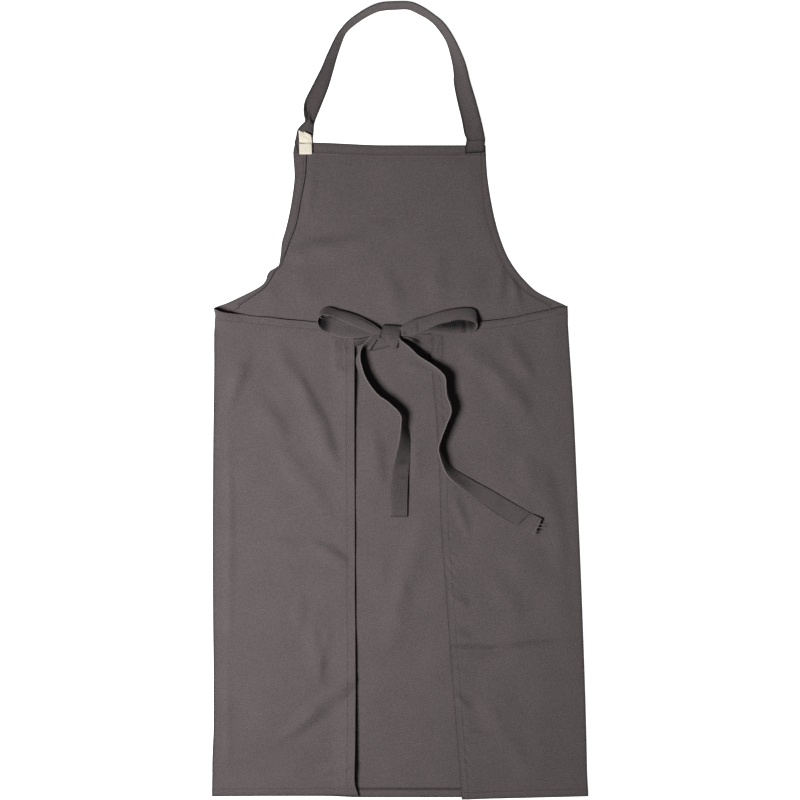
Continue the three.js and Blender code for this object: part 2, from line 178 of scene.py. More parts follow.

# Painted shade along pressed creases and the ties' sewn boxes: both ends, half width and depth of shade
PAINTED_CREASE = "x0 y0 x1 y1 half shade"
left_painted_creases = table(
    PAINTED_CREASE,
    (-66, -384, -118, -424, 5, 0.8), (-126, 10, -90, -78, 5, 0.6), (-104, -202, -78, -216, 3.2, 0.8),
    (-79.7, 46, -79.7, 87, 1.2, 1.3), (-80, 47, -64, 46, 1.2, 0.8), (-86, 45, -73, 38, 2, 1.2),
)
right_painted_creases = table(
    PAINTED_CREASE,
    (58, -335, 132, -336, 2.6, 1.9), (112, -336, 215, -327, 2.6, 1.6), (66, -349, 150, -342, 2.8, 0.8),
    (66, -264, 96, -277, 2.6, 1.1), (68, -311, 98, -321, 2.6, 1.1), (68, -240, 84, -244, 2.6, 0.7),
    (72, -360, 92, -368, 2.6, 0.8), (74, -397, 96, -418, 2.8, 1.1), (88, -447, 128, -454, 2.8, 0.9),
    (76, -128, 96, -184, 2.8, 0.8),
    (45, 49, 45, 88, 1, 1.5), (56.5, 47, 56.5, 88, 1.1, 1.5), (44, 48, 58, 47, 1.2, 1.3),
    (45, 50, 56.5, 87, 1, 1), (56.5, 50, 45, 87, 1, 1),
)


def through(rows, column, at, key="y"):
    """Smooth curve through a table's rows."""
    keys, values = rows[key], rows[column]
    slopes = np.gradient(values, keys)
    at = np.clip(at, keys[0], keys[-1])
    i = np.clip(np.searchsorted(keys, at) - 1, 0, len(keys) - 2)
    run = keys[i + 1] - keys[i]
    t = (at - keys[i]) / run
    start = (1 + 2 * t) * (1 - t) ** 2 * values[i] + t * (1 - t) ** 2 * run * slopes[i]
    return start + t * t * (3 - 2 * t) * values[i + 1] + t * t * (t - 1) * run * slopes[i + 1]


def ease(low, high, value):
    """Smooth step from 0 at the first value to 1 at the second."""
    t = np.clip((value - low) / (high - low), 0, 1)
    return t * t * (3 - 2 * t)


def lerp(a, b, t):
    return a + (b - a) * t


WAVES = 9
SHORTEST_WAVE = 0.7
LONGEST_WAVE = 1.5
SWELL_SPREAD = 2.2
SWELL_LIMIT = 1.2


def swell(x, y, length, seed):
    """Gentle unevenness of cloth after wear and washing, from 0 to about 1."""
    rng = np.random.default_rng(seed)
    total = np.zeros(np.broadcast(x, y).shape)
    for _ in range(WAVES):
        turn, phase, stretch = rng.uniform((0, 0, SHORTEST_WAVE), (math.tau, math.tau, LONGEST_WAVE))
        total += np.sin((x * math.cos(turn) + y * math.sin(turn)) * math.tau / (length * stretch) + phase)
    return np.clip(0.5 + total / (SWELL_SPREAD * math.sqrt(WAVES)), 0, SWELL_LIMIT)


FOLD_LEAST = 0.75
FOLD_UNEVEN = 0.5
FOLD_UNEVEN_LENGTH = 46
FOLD_SEED = 7


def beside_line(x0, y0, x1, y1, x, y):
    """A line's direction and length, with places along it from its middle and across it."""
    length = math.hypot(x1 - x0, y1 - y0)
    dx, dy = (x1 - x0) / length, (y1 - y0) / length
    along = (x - (x0 + x1) / 2) * dx + (y - (y0 + y1) / 2) * dy
    return dx, dy, length, along, (y - y0) * dx - (x - x0) * dy


def fold_height(folds, x, y):
    """Ridges with one slope towards the lamp and one away from it, which run out at both ends."""
    height = np.zeros(np.broadcast(x, y).shape)
    for *ends, near, far, crest in zip(*folds.values()):
        dx, dy, length, along, across = beside_line(*ends, x, y)
        along = along / (length / 2 + near / 2)
        across = across * -math.copysign(1, LAMP_Y * dx - LAMP_X * dy)
        width = np.sqrt(np.clip(1 - along**2, 1e-6, 1))
        reach = np.clip(np.abs(across) / (np.where(across > 0, far, near) * width), 0, 1)
        height += np.where(np.abs(along) < 1, crest * width**2 * np.cos(reach * math.pi / 2) ** 2, 0)
    return height * (FOLD_LEAST + FOLD_UNEVEN * swell(x, y, FOLD_UNEVEN_LENGTH, FOLD_SEED))


def painted_crease_shade(painted_creases, x, y):
    """Depth of painted shade along pressed lines, which fades out at both ends."""
    total = np.zeros(np.broadcast(x, y).shape)
    for *ends, half, shade in zip(*painted_creases.values()):
        _, _, length, along, across = beside_line(*ends, x, y)
        fade = np.clip(1 - (along / (length / 2)) ** 4, 0, 1)
        total += shade * fade * np.exp(-((across / half) ** 2))
    return total


PUCKER_WANDER = 9
PUCKER_WANDER_LENGTH = 70
PUCKER_PATCH_LENGTH = 110
PUCKER_SLANT = 1.5
PUCKER_REACH = 9


def puckers(run, inward, hem, size, seed):
    """Slanting ripples of a height and a pitch, where the sewing thread draws a hem in."""
    height, pitch = size
    wander = PUCKER_WANDER * swell(run, inward * 0, PUCKER_WANDER_LENGTH, seed)
    strength = swell(run, inward * 0, PUCKER_PATCH_LENGTH, seed + 1) ** 2
    wave = np.sin((run + PUCKER_SLANT * inward + wander) * math.tau / pitch)
    return height * wave * strength * np.exp(-(((inward - hem) / PUCKER_REACH) ** 2))


EDGE_MARKS = np.array([0.0, 0.3, 0.9, 1.8, 3.2, 6.0, 9.0])
HEM_CLEAR = 2.4
HEM_STEP = 0.4
HEM_BEYOND = 3


def hem_marks(hem):
    """Lines of points across a hem: its rounded edge, its sewing line and the step at its turned edge."""
    sewn_and_step = [hem - SEW_IN, hem - HEM_STEP, hem + HEM_STEP, hem + HEM_BEYOND]
    return np.concatenate([EDGE_MARKS[EDGE_MARKS < hem - HEM_CLEAR], sewn_and_step])


def sewn_line(hem):
    """Number of the line of points that lies on a hem's sewing line."""
    return int(np.searchsorted(hem_marks(hem), hem - SEW_IN))


def stations(length, start, end, pitch):
    """Places along a length with given lines at both ends and an even pitch between them."""
    end = (length - np.array(end))[::-1]
    between = np.linspace(start[-1], end[0], max(2, round((end[0] - start[-1]) / pitch) + 1))
    return np.concatenate([start, between[1:-1], end]) / length


def nose(inward):
    """Share of the thickness near an edge, which is round."""
    t = np.clip(inward / ROUNDED, 0, 1)
    return np.maximum(EDGE_LEAST, np.sqrt(1 - (1 - t) ** 2))


SEAM_HALF = 1.1


def on_line(inward, at, half=SEAM_HALF):
    """Share by which a place is drawn in by a sewing line."""
    return np.clip(1 - np.abs(inward - at) / half, 0, 1)


SKIRT_PITCH = 3.8
FOLD_MARKS = [0, 1.5, 4]
skirt_length = WAIST_Y - HEM_Y
ups = stations(skirt_length, hem_marks(BOTTOM_HEM), hem_marks(EDGE_HEM), SKIRT_PITCH)[:, None]
shares = stations(WRAP_WIDTH, FOLD_MARKS, hem_marks(EDGE_HEM), SKIRT_PITCH)[None, :]

# Rise of a back panel above the front: at its hems, over the tie's root and in its swells
FOLD_REACH = 26
HEM_FLAT = (3, 34)
HEM_RISE = 1.7
EDGE_RISE = 0.5
ROOT_RISE = 2.2
ROOT_REACH = (20, 62)
ROOT_HOLD = 0.6
PANEL_SWELL = 1.8
PANEL_SWELL_LENGTH = 80
CURL_REACH = 34
TIE_PLY = 1.1
TIE_HALF = 16
TIE_STEP = 2
TIE_DROP = 10
CORNER_DOWN = 30
CORNER_IN = 40

# Puckers of its hems: height and pitch
EDGE_PUCKER = (0.9, 15)
TOP_PUCKER = (1.0, 11)
BOTTOM_PUCKER = (0.25, 16)


def back_panel(
    side, free, top, curl, folds, painted_creases, hem_drop, root_y, root_reach, corner_puff, rim, top_rim, seed,
):
    """Grid of a back panel from its side fold to its free edge, with the values that its cloth carries."""
    top_y = WAIST_Y - through(top, "drop", shares, key="share")
    y = lerp(HEM_Y + hem_drop * shares, top_y, ups)
    fold_x = through(side, "x", lerp(HEM_Y, WAIST_Y, ups))
    free_x = through(free, "x", y)
    x = lerp(fold_x, free_x, shares)
    to_free = np.abs(free_x - x)
    to_top = top_y - y
    above_hem = y - HEM_Y - hem_drop * shares
    to_fold = np.abs(x - fold_x)
    off_fold = ease(0, FOLD_REACH, to_fold)
    off_hem = ease(*HEM_FLAT, above_hem)
    root = 1 - ease(*ROOT_REACH, np.hypot(to_free, y - root_y))
    edge = 1 - ease(EDGE_HEM, 3 * EDGE_HEM, np.minimum(to_free, to_top))
    uneven = PANEL_SWELL * swell(x, y, PANEL_SWELL_LENGTH, seed)
    z = WRAP_Z + off_fold * off_hem * (fold_height(folds, x, y) + uneven)
    z = z + HEM_RISE * (1 - off_hem) + off_fold * np.maximum(EDGE_RISE * edge, ROOT_RISE * root)
    z = z + through(curl, "lift", y) * (1 - ease(0, CURL_REACH, to_free)) * (1 - ROOT_HOLD * root)
    tie_inward = 1 - ease(root_reach - TIE_STEP, root_reach + TIE_STEP, to_free)
    off_tie = np.abs(y - root_y + TIE_DROP)
    z = z + TIE_PLY * tie_inward * ease(TIE_HALF + TIE_STEP, TIE_HALF - TIE_STEP, off_tie)
    z = z + corner_puff * (1 - ease(0, CORNER_DOWN, to_top)) * (1 - ease(0, CORNER_IN, to_fold))
    z = z + off_hem * puckers(y, to_free, EDGE_HEM, EDGE_PUCKER, seed + 3)
    z = z + off_fold * puckers(x, to_top, EDGE_HEM, TOP_PUCKER, seed + 6)
    z = z + off_fold * puckers(x, above_hem, BOTTOM_HEM, BOTTOM_PUCKER, seed + 9)
    inward = np.minimum(np.minimum(to_free, above_hem), to_top)
    sewn = np.maximum(on_line(to_free, EDGE_HEM - SEW_IN), on_line(above_hem, BOTTOM_HEM - SEW_IN))
    sewn = np.maximum(sewn, on_line(to_top, EDGE_HEM - SEW_IN))
    hem = np.minimum(np.minimum(to_free, to_top) - EDGE_HEM, above_hem - BOTTOM_HEM) < 0
    fold_radius = (z[:, :1] - FRONT_Z) / 2
    # Edge value: rims above 0 are lighter from wear and painted highlight, rims below 0 painted shade; the
    # side fold and bottom hem get a painted dark rim, and the creases painted shade.
    worn = rim * np.exp(-to_free / WEAR_AND_SHADE_DEPTH) + top_rim * np.exp(-to_top / WEAR_AND_SHADE_DEPTH)
    worn = worn - PAINTED_EDGE_SHADE * np.exp(-np.minimum(to_fold + fold_radius, above_hem) / WEAR_AND_SHADE_DEPTH)
    worn = worn - painted_crease_shade(painted_creases, x, y)
    flat_x = 2 * fold_x - x
    return dict(x=x, y=y, z=z, flat_x=flat_x, flat_y=y, ply=1.0 * hem, inward=inward, sewn=sewn, worn=worn)


# The left panel's rims are lighter from wear and painted highlight; the right panel's rims are painted shade
# along its free and top edges.
left_panel = back_panel(
    left_side, left_free, left_top, left_curl, left_folds, left_painted_creases,
    hem_drop=1.5, root_y=86, root_reach=21.5, corner_puff=11.0, rim=1.6, top_rim=0.6, seed=11,
)
right_panel = back_panel(
    right_side, right_free, right_top, right_curl, right_folds, right_painted_creases,
    hem_drop=-4.2, root_y=80, root_reach=15.5, corner_puff=2.4, rim=-4.2, top_rim=-4.5, seed=31,
)

# Lines of points across the front and across the armholes' hems
FRONT_COLUMNS = 54
COLUMN_WARP = 0.11
columns = np.linspace(0, 1, FRONT_COLUMNS)
columns = (columns - COLUMN_WARP * np.sin(2 * math.tau * columns) / 2)[None, 1:-1]
hem_shares = np.array([[0, 0.03, 0.09, 0.3, 0.6, 0.8]])
hem_steps = np.array([[-1.1, -0.45, 0.45, 1.1]])
NARROW_HEM = 8.0
HEM_SEWN_SHARE = 0.8
HEM_SEWN_HALF = 0.1


def across_hem(width):
    """Lines of points across an armhole's hem: its edge, its sewing line and the step at its turned edge."""
    return np.hstack([width * hem_shares, width + hem_steps * np.minimum(1, width / NARROW_HEM)])


def front_rows(y, left_x, right_x, left_hem, right_hem):
    """Level rows of the front from one edge to the other, with lines of points along both hems."""
    left_part = left_x + across_hem(left_hem)
    right_part = (right_x - across_hem(right_hem))[:, ::-1]
    middle = lerp(left_part[:, -1:], right_part[:, :1], columns)
    x = np.hstack([left_part, middle, right_part])
    return x, np.broadcast_to(y, x.shape), x - left_x, right_x - x


UNDER_EDGE = -4
CLEAR_OF_EDGE = 24
BIB_SHOWS_Y = (112, 138)
FRONT_FLAT = (2, 26)
FRONT_SWELL = 1.5
FRONT_SWELL_LENGTH = 110
FRONT_SEED = 51


def front_height(x, y, inward):
    """The front lies on the floor, flat under the back panels and slightly uneven where it shows."""
    past_left = ease(UNDER_EDGE, CLEAR_OF_EDGE, x - through(left_free, "x", y))
    past_right = ease(UNDER_EDGE, CLEAR_OF_EDGE, through(right_free, "x", y) - x)
    shows = np.maximum(past_left * past_right, ease(*BIB_SHOWS_Y, y))
    uneven = FRONT_SWELL * swell(x, y, FRONT_SWELL_LENGTH, FRONT_SEED)
    return FRONT_Z + shows * ease(*FRONT_FLAT, inward) * (fold_height(front_folds, x, y) + uneven)


# Painted shade: dark lines along the hems' turned edges, where the step throws a thin shadow
PAINTED_HEM_LINE_SHADE = 6.0
HEM_LINE_HALF = 0.5
RIGHT_LINE_SHADES = (0.3, 0.8)
RIGHT_LINE_FADE_Y = (215, 150)


def painted_hem_line_shade():
    """Painted shade at the turned edges of the armholes' hems, which show only above the back panels."""
    left_line = np.abs(to_left - left_hem) < HEM_LINE_HALF
    right_line = np.abs(to_right - right_hem) < HEM_LINE_HALF
    right_shade = lerp(*RIGHT_LINE_SHADES, ease(*RIGHT_LINE_FADE_Y, y))
    return PAINTED_HEM_LINE_SHADE * np.maximum(left_line, right_line * right_shade) * (y > BIB_SHOWS_Y[0])


# The front's bottom edge hangs a little lower where it shows between the back panels
FRONT_DROP = 1.8
DROP_FROM_LEFT = (150, 200)
DROP_FROM_RIGHT = (130, 180)
PAINTED_BOTTOM_LINE_SHADE = 3.6

front_y = lerp(HEM_Y, WAIST_Y, ups)
left_x = through(left_side, "x", front_y)
right_x = through(right_side, "x", front_y)
left_hem = through(left_armhole, "hem", front_y)
right_hem = through(right_armhole, "hem", front_y)
x, y, to_left, to_right = front_rows(front_y, left_x, right_x, left_hem, right_hem)
above_hem = y - HEM_Y
y = y - FRONT_DROP * ease(*DROP_FROM_LEFT, to_left) * ease(*DROP_FROM_RIGHT, to_right) * (1 - ups) ** 6
# Painted shade along the turned edge of the front's bottom hem
painted_bottom_line = PAINTED_BOTTOM_LINE_SHADE * (np.abs(above_hem - BOTTOM_HEM) < HEM_LINE_HALF)
painted_hem_line = np.maximum(painted_hem_line_shade(), painted_bottom_line)
front_panel = dict(
    x=x, y=y, z=front_height(x, y, above_hem), flat_x=x, flat_y=y, ply=1.0 * (above_hem < BOTTOM_HEM),
    inward=above_hem, sewn=on_line(above_hem, BOTTOM_HEM - SEW_IN),
    worn=-np.maximum(PAINTED_EDGE_SHADE * np.exp(-above_hem / WEAR_AND_SHADE_DEPTH), painted_hem_line),
)

# The bib goes on from the front's top row, and its left corner reaches a little higher
BIB_PITCH = 3.6
WAIST_MARKS = np.arange(0, 24, 1.5)
RISE_X = (-20, -122)
RISE_FROM = 0.6
ARMHOLE_HEM = 14
ARMHOLE_PUCKER = (0.3, 17)
ARMHOLE_FLAT = (4, 10)
ARMHOLE_SEED = 71
bib_length = BIB_TOP_Y - WAIST_Y
bib_ups = stations(bib_length, WAIST_MARKS, hem_marks(BIB_HEM), BIB_PITCH)[1:, None]
level_y = lerp(WAIST_Y, BIB_TOP_Y, bib_ups)
left_hem = through(left_armhole, "hem", level_y)
right_hem = through(right_armhole, "hem", level_y)
bib_left = through(left_armhole, "x", level_y)
bib_right = through(right_armhole, "x", level_y)
x, y, to_left, to_right = front_rows(level_y, bib_left, bib_right, left_hem, right_hem)
y = y + BIB_TOP_RISE * ease(*RISE_X, x) * ease(RISE_FROM, 1, bib_ups)
to_top = np.broadcast_to(BIB_TOP_Y - level_y, x.shape)
inward = np.minimum(np.minimum(to_left, to_right), to_top)
on_armhole = np.maximum(
    on_line(to_left / left_hem, HEM_SEWN_SHARE, HEM_SEWN_HALF),
    on_line(to_right / right_hem, HEM_SEWN_SHARE, HEM_SEWN_HALF),
)
in_hem = (to_left < left_hem) | (to_right < right_hem) | (to_top < BIB_HEM)
drawn = puckers(y, to_left, ARMHOLE_HEM, ARMHOLE_PUCKER, ARMHOLE_SEED) * ease(*ARMHOLE_FLAT, to_left)
# The bib's edge value is painted shade at its rim and along its hems' turned edges
bib = dict(
    x=x, y=y, z=front_height(x, y, inward) + drawn, flat_x=x, flat_y=y, ply=1.0 * in_hem, inward=inward,
    sewn=np.maximum(on_armhole, on_line(to_top, BIB_HEM - SEW_IN)),
    worn=-np.maximum(PAINTED_EDGE_SHADE * np.exp(-inward / WEAR_AND_SHADE_DEPTH), painted_hem_line_shade()),
)
FOLD_STEPS = 7


def side_fold(panel, front_edge, outward):
    """Rounded fold from the front up into a back panel."""
    top = {name: values[:, :1] for name, values in panel.items()}
    low = {name: values[:, front_edge] for name, values in front_panel.items()}
    angle = (np.arange(1, FOLD_STEPS) / FOLD_STEPS * math.pi)[None, :]
    radius = (top["z"] - low["z"]) / 2
    arc = {name: lerp(low[name], top[name], angle / math.pi) for name in top}
    arc["x"] = low["x"] + outward * radius * np.sin(angle)
    arc["z"] = low["z"] + radius - radius * np.cos(angle)
    arc["flat_x"] = low["flat_x"] + outward * radius * angle
    # Painted shade darkens the fold's rim where it meets the floor
    arc["worn"] = -PAINTED_EDGE_SHADE * np.exp(-radius * (1 - np.sin(angle)) / WEAR_AND_SHADE_DEPTH)
    return arc


left_arc = side_fold(left_panel, slice(0, 1), -1)
right_arc = side_fold(right_panel, slice(-1, None), 1)
strips = [
    {name: values[:, ::-1] for name, values in left_panel.items()},
    {name: values[:, ::-1] for name, values in left_arc.items()},
    front_panel, right_arc, right_panel,
]
skirt = {name: np.hstack([strip[name] for strip in strips]) for name in bib}
front_from = left_panel["x"].shape[1] + FOLD_STEPS - 1
skirt_ids = np.arange(skirt["x"].size).reshape(skirt["x"].shape)
bib_ids = skirt["x"].size + np.arange(x.size).reshape(x.shape)
bib_ids = np.vstack([skirt_ids[-1:, front_from:front_from + x.shape[1]], bib_ids])
cloth = {name: np.concatenate([skirt[name].ravel(), bib[name].ravel()]) for name in bib}


def quads_of(ids):
    return np.stack([ids[:-1, :-1], ids[:-1, 1:], ids[1:, 1:], ids[1:, :-1]], -1).reshape(-1, 4)


def shell(points, quads, above, below):
    """Closed wall round a sheet's points, with its rim; the second half of its points lies below."""
    a, b, c, d = points[quads].transpose(1, 0, 2)
    facing = np.cross(c - a, d - b)
    facing /= np.maximum(np.linalg.norm(facing, axis=1, keepdims=True), 1e-9)
    normals = np.zeros_like(points)
    for corner in quads.T:
        np.add.at(normals, corner, facing)
    normals /= np.maximum(np.linalg.norm(normals, axis=1, keepdims=True), 1e-9)
    edges = np.concatenate([quads[:, [i, (i + 1) % 4]] for i in range(4)])
    count = len(points)
    keys = edges[:, 0] * count + edges[:, 1]
    rim = edges[~np.isin(keys, edges[:, 1] * count + edges[:, 0])]
    start, stop = rim.T
    sides = np.stack([count + start, count + stop, stop, start], -1)
    walls = np.concatenate([points + normals * above[:, None], points - normals * below[:, None]])
    return walls, np.concatenate([quads, count + quads[:, ::-1], sides])


def make_piece(name, points, faces, finish, flat=None, sharp=40, **values):
    """Mesh object from points in millimetres, with its flat-cloth map and the values its finish reads."""
    mesh = bpy.data.meshes.new(name)
    mesh.from_pydata((points * MM).tolist(), [], faces.tolist())
    mesh.shade_smooth()
    mesh.set_sharp_from_angle(angle=math.radians(sharp))
    corners = np.empty(len(mesh.loops), int)
    mesh.loops.foreach_get("vertex_index", corners)
    if flat is not None:
        uv = mesh.uv_layers.new(name="flat_cloth")
        uv.data.foreach_set("uv", (flat[corners] * MM).ravel())
    for value_name, value in values.items():
        attribute = mesh.attributes.new(value_name, "FLOAT", "POINT")
        attribute.data.foreach_set("value", value)
    mesh.materials.append(finish)
    piece = bpy.data.objects.new(name, mesh)
    scene.collection.objects.link(piece)
    return piece


class Socket:
    """One socket of a node tree, with operators that add Math nodes."""

    def __init__(self, tree, socket=None):
        self.tree = tree
        self.socket = socket

    def node(self, kind, settings=(), sockets=(), output=0):
        made = self.tree.nodes.new(kind)
        for name, value in dict(settings).items():
            setattr(made, name, value)
        for name, value in dict(sockets).items():
            if isinstance(value, Socket):
                self.tree.links.new(value.socket, made.inputs[name])
            else:
                made.inputs[name].default_value = value
        return Socket(self.tree, made.outputs[output])

    def maths(self, operation, first, second=0.0):
        return self.node("ShaderNodeMath", {"operation": operation}, {0: first, 1: second})

    def noise(self, place, scale, detail=1.0):
        return self.node("ShaderNodeTexNoise", (), {"Vector": place, "Scale": scale, "Detail": detail})

    def __add__(self, other):
        return self.maths("ADD", self, other)

    def __sub__(self, other):
        return self.maths("SUBTRACT", self, other)

    def __mul__(self, other):
        return self.maths("MULTIPLY", self, other)


def set_inputs(node, **values):
    for name, value in values.items():
        node.inputs[name.replace("_", " ")].default_value = value


def new_finish(name):
    """New material with its node tree and its surface."""
    material = bpy.data.materials.new(name)
    material.use_nodes = True
    return material, material.node_tree, material.node_tree.nodes["Principled BSDF"]


TWILL_PITCH = 0.0011
YARN_PITCH = 0.0006
CLOTH_GREY = (0.0945, 0.0782, 0.0799)
NOISE_MEAN = 0.5

# Weave in patches a metre, and how much each unevenness shades the dye
GRAIN_SCALE = 680.0
MOTTLE_SCALE = 170.0
CLOUD_SCALE = 22.0
YARN_SCALE = (1500.0, 70.0, 1.0)
WEFT_SCALE = (70.0, 1500.0, 1.0)
GRAIN_SHADE = 1.3
MOTTLE_SHADE = 0.28
CLOUD_SHADE = 0.22
YARN_SHADE = 0.22
RIB_SHADE = 0.036
# Weight of the edge value, which holds wear, painted highlight and painted shade
WEAR_AND_PAINTED_LIGHT_SHADE = 0.144
# Weight of the painted shade in the pinch of the sewing lines
SEAM_PAINTED_SHADE = 0.14
GREY_MEAN = NOISE_MEAN * (GRAIN_SHADE + MOTTLE_SHADE + CLOUD_SHADE + 2 * YARN_SHADE)
WEAVE_DEPTH = 0.0004


def woven_finish(name, colour, sheen=0.08, contrast=1.0):
    """Weave on the flat-cloth map: diagonal ribs, uneven yarns, soft mottling, edges lighter from wear and
    painted highlight, and painted shade at edges, creases, dents and seams.
    """
    material, tree, surface = new_finish(name)
    shade = Socket(tree)
    flat = shade.node("ShaderNodeUVMap", {"uv_map": "flat_cloth"})
    u = shade.node("ShaderNodeSeparateXYZ", (), {0: flat}, "X")
    v = shade.node("ShaderNodeSeparateXYZ", (), {0: flat}, "Y")
    ribs = shade.maths("SINE", (u + v) * (math.tau / TWILL_PITCH))
    warp = shade.maths("SINE", u * (math.tau / YARN_PITCH))
    grain = shade.noise(flat, GRAIN_SCALE)
    mottle = shade.noise(flat, MOTTLE_SCALE, 2.0)
    cloud = shade.noise(flat, CLOUD_SCALE, 2.0)
    along = shade.node("ShaderNodeMapping", (), {"Vector": flat, "Scale": YARN_SCALE})
    across = shade.node("ShaderNodeMapping", (), {"Vector": flat, "Scale": WEFT_SCALE})
    yarn = shade.noise(along, 1.0)
    weft = shade.noise(across, 1.0)
    worn = shade.node("ShaderNodeAttribute", {"attribute_name": "worn"}, (), "Fac")
    sewn = shade.node("ShaderNodeAttribute", {"attribute_name": "sewn"}, (), "Fac")
    weave = grain * GRAIN_SHADE + mottle * MOTTLE_SHADE + cloud * CLOUD_SHADE
    weave = weave + yarn * YARN_SHADE + weft * YARN_SHADE + ribs * RIB_SHADE
    # The tone adds edges lighter from wear and painted highlight, and painted shade at edges, creases, dents
    # and the seams' pinch.
    tone = (weave - GREY_MEAN) * contrast + worn * WEAR_AND_PAINTED_LIGHT_SHADE - sewn * SEAM_PAINTED_SHADE + 1.0
    dyed = shade.node("ShaderNodeVectorMath", {"operation": "SCALE"}, {0: colour, "Scale": tone})
    tree.links.new(dyed.socket, surface.inputs["Base Color"])
    rough = mottle * 0.12 + 0.84
    tree.links.new(rough.socket, surface.inputs["Roughness"])
    height = ribs * 0.5 + warp * 0.2 + yarn * 0.7 + weft * 0.7 + mottle * 0.7
    bump = shade.node("ShaderNodeBump", (), {"Strength": 0.32, "Distance": WEAVE_DEPTH, "Height": height})
    tree.links.new(bump.socket, surface.inputs["Normal"])
    set_inputs(surface, Specular_IOR_Level=0.18, Sheen_Weight=sheen, Sheen_Roughness=0.6)
    return material


SEWN_IN_ABOVE = 0.16
SEWN_IN_BELOW = 0.14
cloth_finish = woven_finish("twill_grey", CLOTH_GREY)
points = np.stack([cloth["x"], cloth["y"], cloth["z"]], -1)
soft_edge = nose(cloth["inward"])
rounded = CLOTH / 2 * soft_edge
walls, faces = shell(
    points, np.concatenate([quads_of(skirt_ids), quads_of(bib_ids)]),
    rounded + HEM_PLY * soft_edge * cloth["ply"] - SEWN_IN_ABOVE * cloth["sewn"],
    rounded - SEWN_IN_BELOW * cloth["sewn"],
)
flat = np.stack([cloth["flat_x"], cloth["flat_y"]], -1)
apron_cloth = make_piece(
    "apron_cloth", walls, faces, cloth_finish, np.tile(flat, (2, 1)),
    worn=np.tile(cloth["worn"], 2), sewn=np.tile(cloth["sewn"], 2),
)
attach(apron_cloth, "root")
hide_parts("apron_body")

# Hem stitches: lockstitches of dark cotton thread that hold every turned hem down.
# They lie along the sewing lines on both faces of the cloth, one bead of thread for each stitch.
STITCH_PITCH = 2.9
STITCH_LENGTH = 1.9
THREAD = 0.55
THREAD_GREY = (0.042, 0.036, 0.037)
THREAD_SCALE = 700.0
BEAD_SIDES = 6
BEAD_RINGS = 4


def thread_finish(name, colour):
    """Twisted cotton thread with an uneven dye."""
    material, tree, surface = new_finish(name)
    shade = Socket(tree)
    place = shade.node("ShaderNodeTexCoord", (), (), "Object")
    uneven = shade.noise(place, THREAD_SCALE)
    tone = uneven + NOISE_MEAN
    dyed = shade.node("ShaderNodeVectorMath", {"operation": "SCALE"}, {0: colour, "Scale": tone})
    tree.links.new(dyed.socket, surface.inputs["Base Color"])
    rough = uneven * 0.3 + 0.6
    tree.links.new(rough.socket, surface.inputs["Roughness"])
    set_inputs(surface, Specular_IOR_Level=0.2)
    return material


def stitch_nodes():
    """Geometry nodes that lay one rounded stitch after another along lines of edges."""
    tree = bpy.data.node_groups.new("stitches", "GeometryNodeTree")
    tree.interface.new_socket("Lines", in_out="INPUT", socket_type="NodeSocketGeometry")
    for name in ("Pitch", "Length", "Thread"):
        tree.interface.new_socket(name, in_out="INPUT", socket_type="NodeSocketFloat")
    tree.interface.new_socket("Finish", in_out="INPUT", socket_type="NodeSocketMaterial")
    tree.interface.new_socket("Stitches", in_out="OUTPUT", socket_type="NodeSocketGeometry")
    given = {socket.name: Socket(tree, socket) for socket in tree.nodes.new("NodeGroupInput").outputs}
    lay = Socket(tree)
    curve = lay.node("GeometryNodeMeshToCurve", (), {0: given["Lines"]})
    places = lay.node(
        "GeometryNodeResampleCurve", {"mode": "LENGTH"}, {"Curve": curve, "Length": given["Pitch"]},
    )
    run = lay.node("GeometryNodeInputTangent")
    turn = lay.node("FunctionNodeAlignRotationToVector", {"axis": "X"}, {"Vector": run})
    size = lay.node(
        "ShaderNodeCombineXYZ", (), {"X": given["Length"], "Y": given["Thread"], "Z": given["Thread"]},
    )
    ball = {"Segments": BEAD_SIDES, "Rings": BEAD_RINGS, "Radius": 0.5}
    bead = lay.node("GeometryNodeMeshUVSphere", (), ball)
    rows = lay.node(
        "GeometryNodeInstanceOnPoints", (),
        {"Points": places, "Instance": bead, "Rotation": turn, "Scale": size},
    )
    real = lay.node("GeometryNodeRealizeInstances", (), {0: rows})
    dyed = lay.node("GeometryNodeSetMaterial", (), {"Geometry": real, "Material": given["Finish"]})
    tree.links.new(dyed.socket, tree.nodes.new("NodeGroupOutput").inputs[0])
    return tree


def sew(name, lines, finish, pitch=STITCH_PITCH, length=STITCH_LENGTH, thread=THREAD):
    """Mesh object of stitches along lines of points in millimetres."""
    points = np.concatenate(lines)
    ends = np.cumsum([len(line) for line in lines]) - 1
    starts = np.setdiff1d(np.arange(len(points)), ends)
    path = bpy.data.meshes.new(name)
    path.from_pydata((points * MM).tolist(), np.stack([starts, starts + 1], -1).tolist(), [])
    stitches = bpy.data.objects.new(name, path)
    scene.collection.objects.link(stitches)
    modifier = stitches.modifiers.new("stitches", "NODES")
    modifier.node_group = stitch_tree
    values = {"Pitch": pitch * MM, "Length": length * MM, "Thread": thread * MM, "Finish": finish}
    for item in stitch_tree.interface.items_tree:
        if item.name in values:
            modifier[item.identifier] = values[item.name]
    shaped = stitches.evaluated_get(bpy.context.evaluated_depsgraph_get())
    made = bpy.data.meshes.new_from_object(shaped)
    stitches.modifiers.clear()
    stitches.data = made
    bpy.data.meshes.remove(path)
    made.shade_smooth()
    return stitches


def both_faces(walls, ids):
    """A sewing line on the upper and the under face of a shell."""
    return [walls[ids], walls[len(walls) // 2 + ids]]


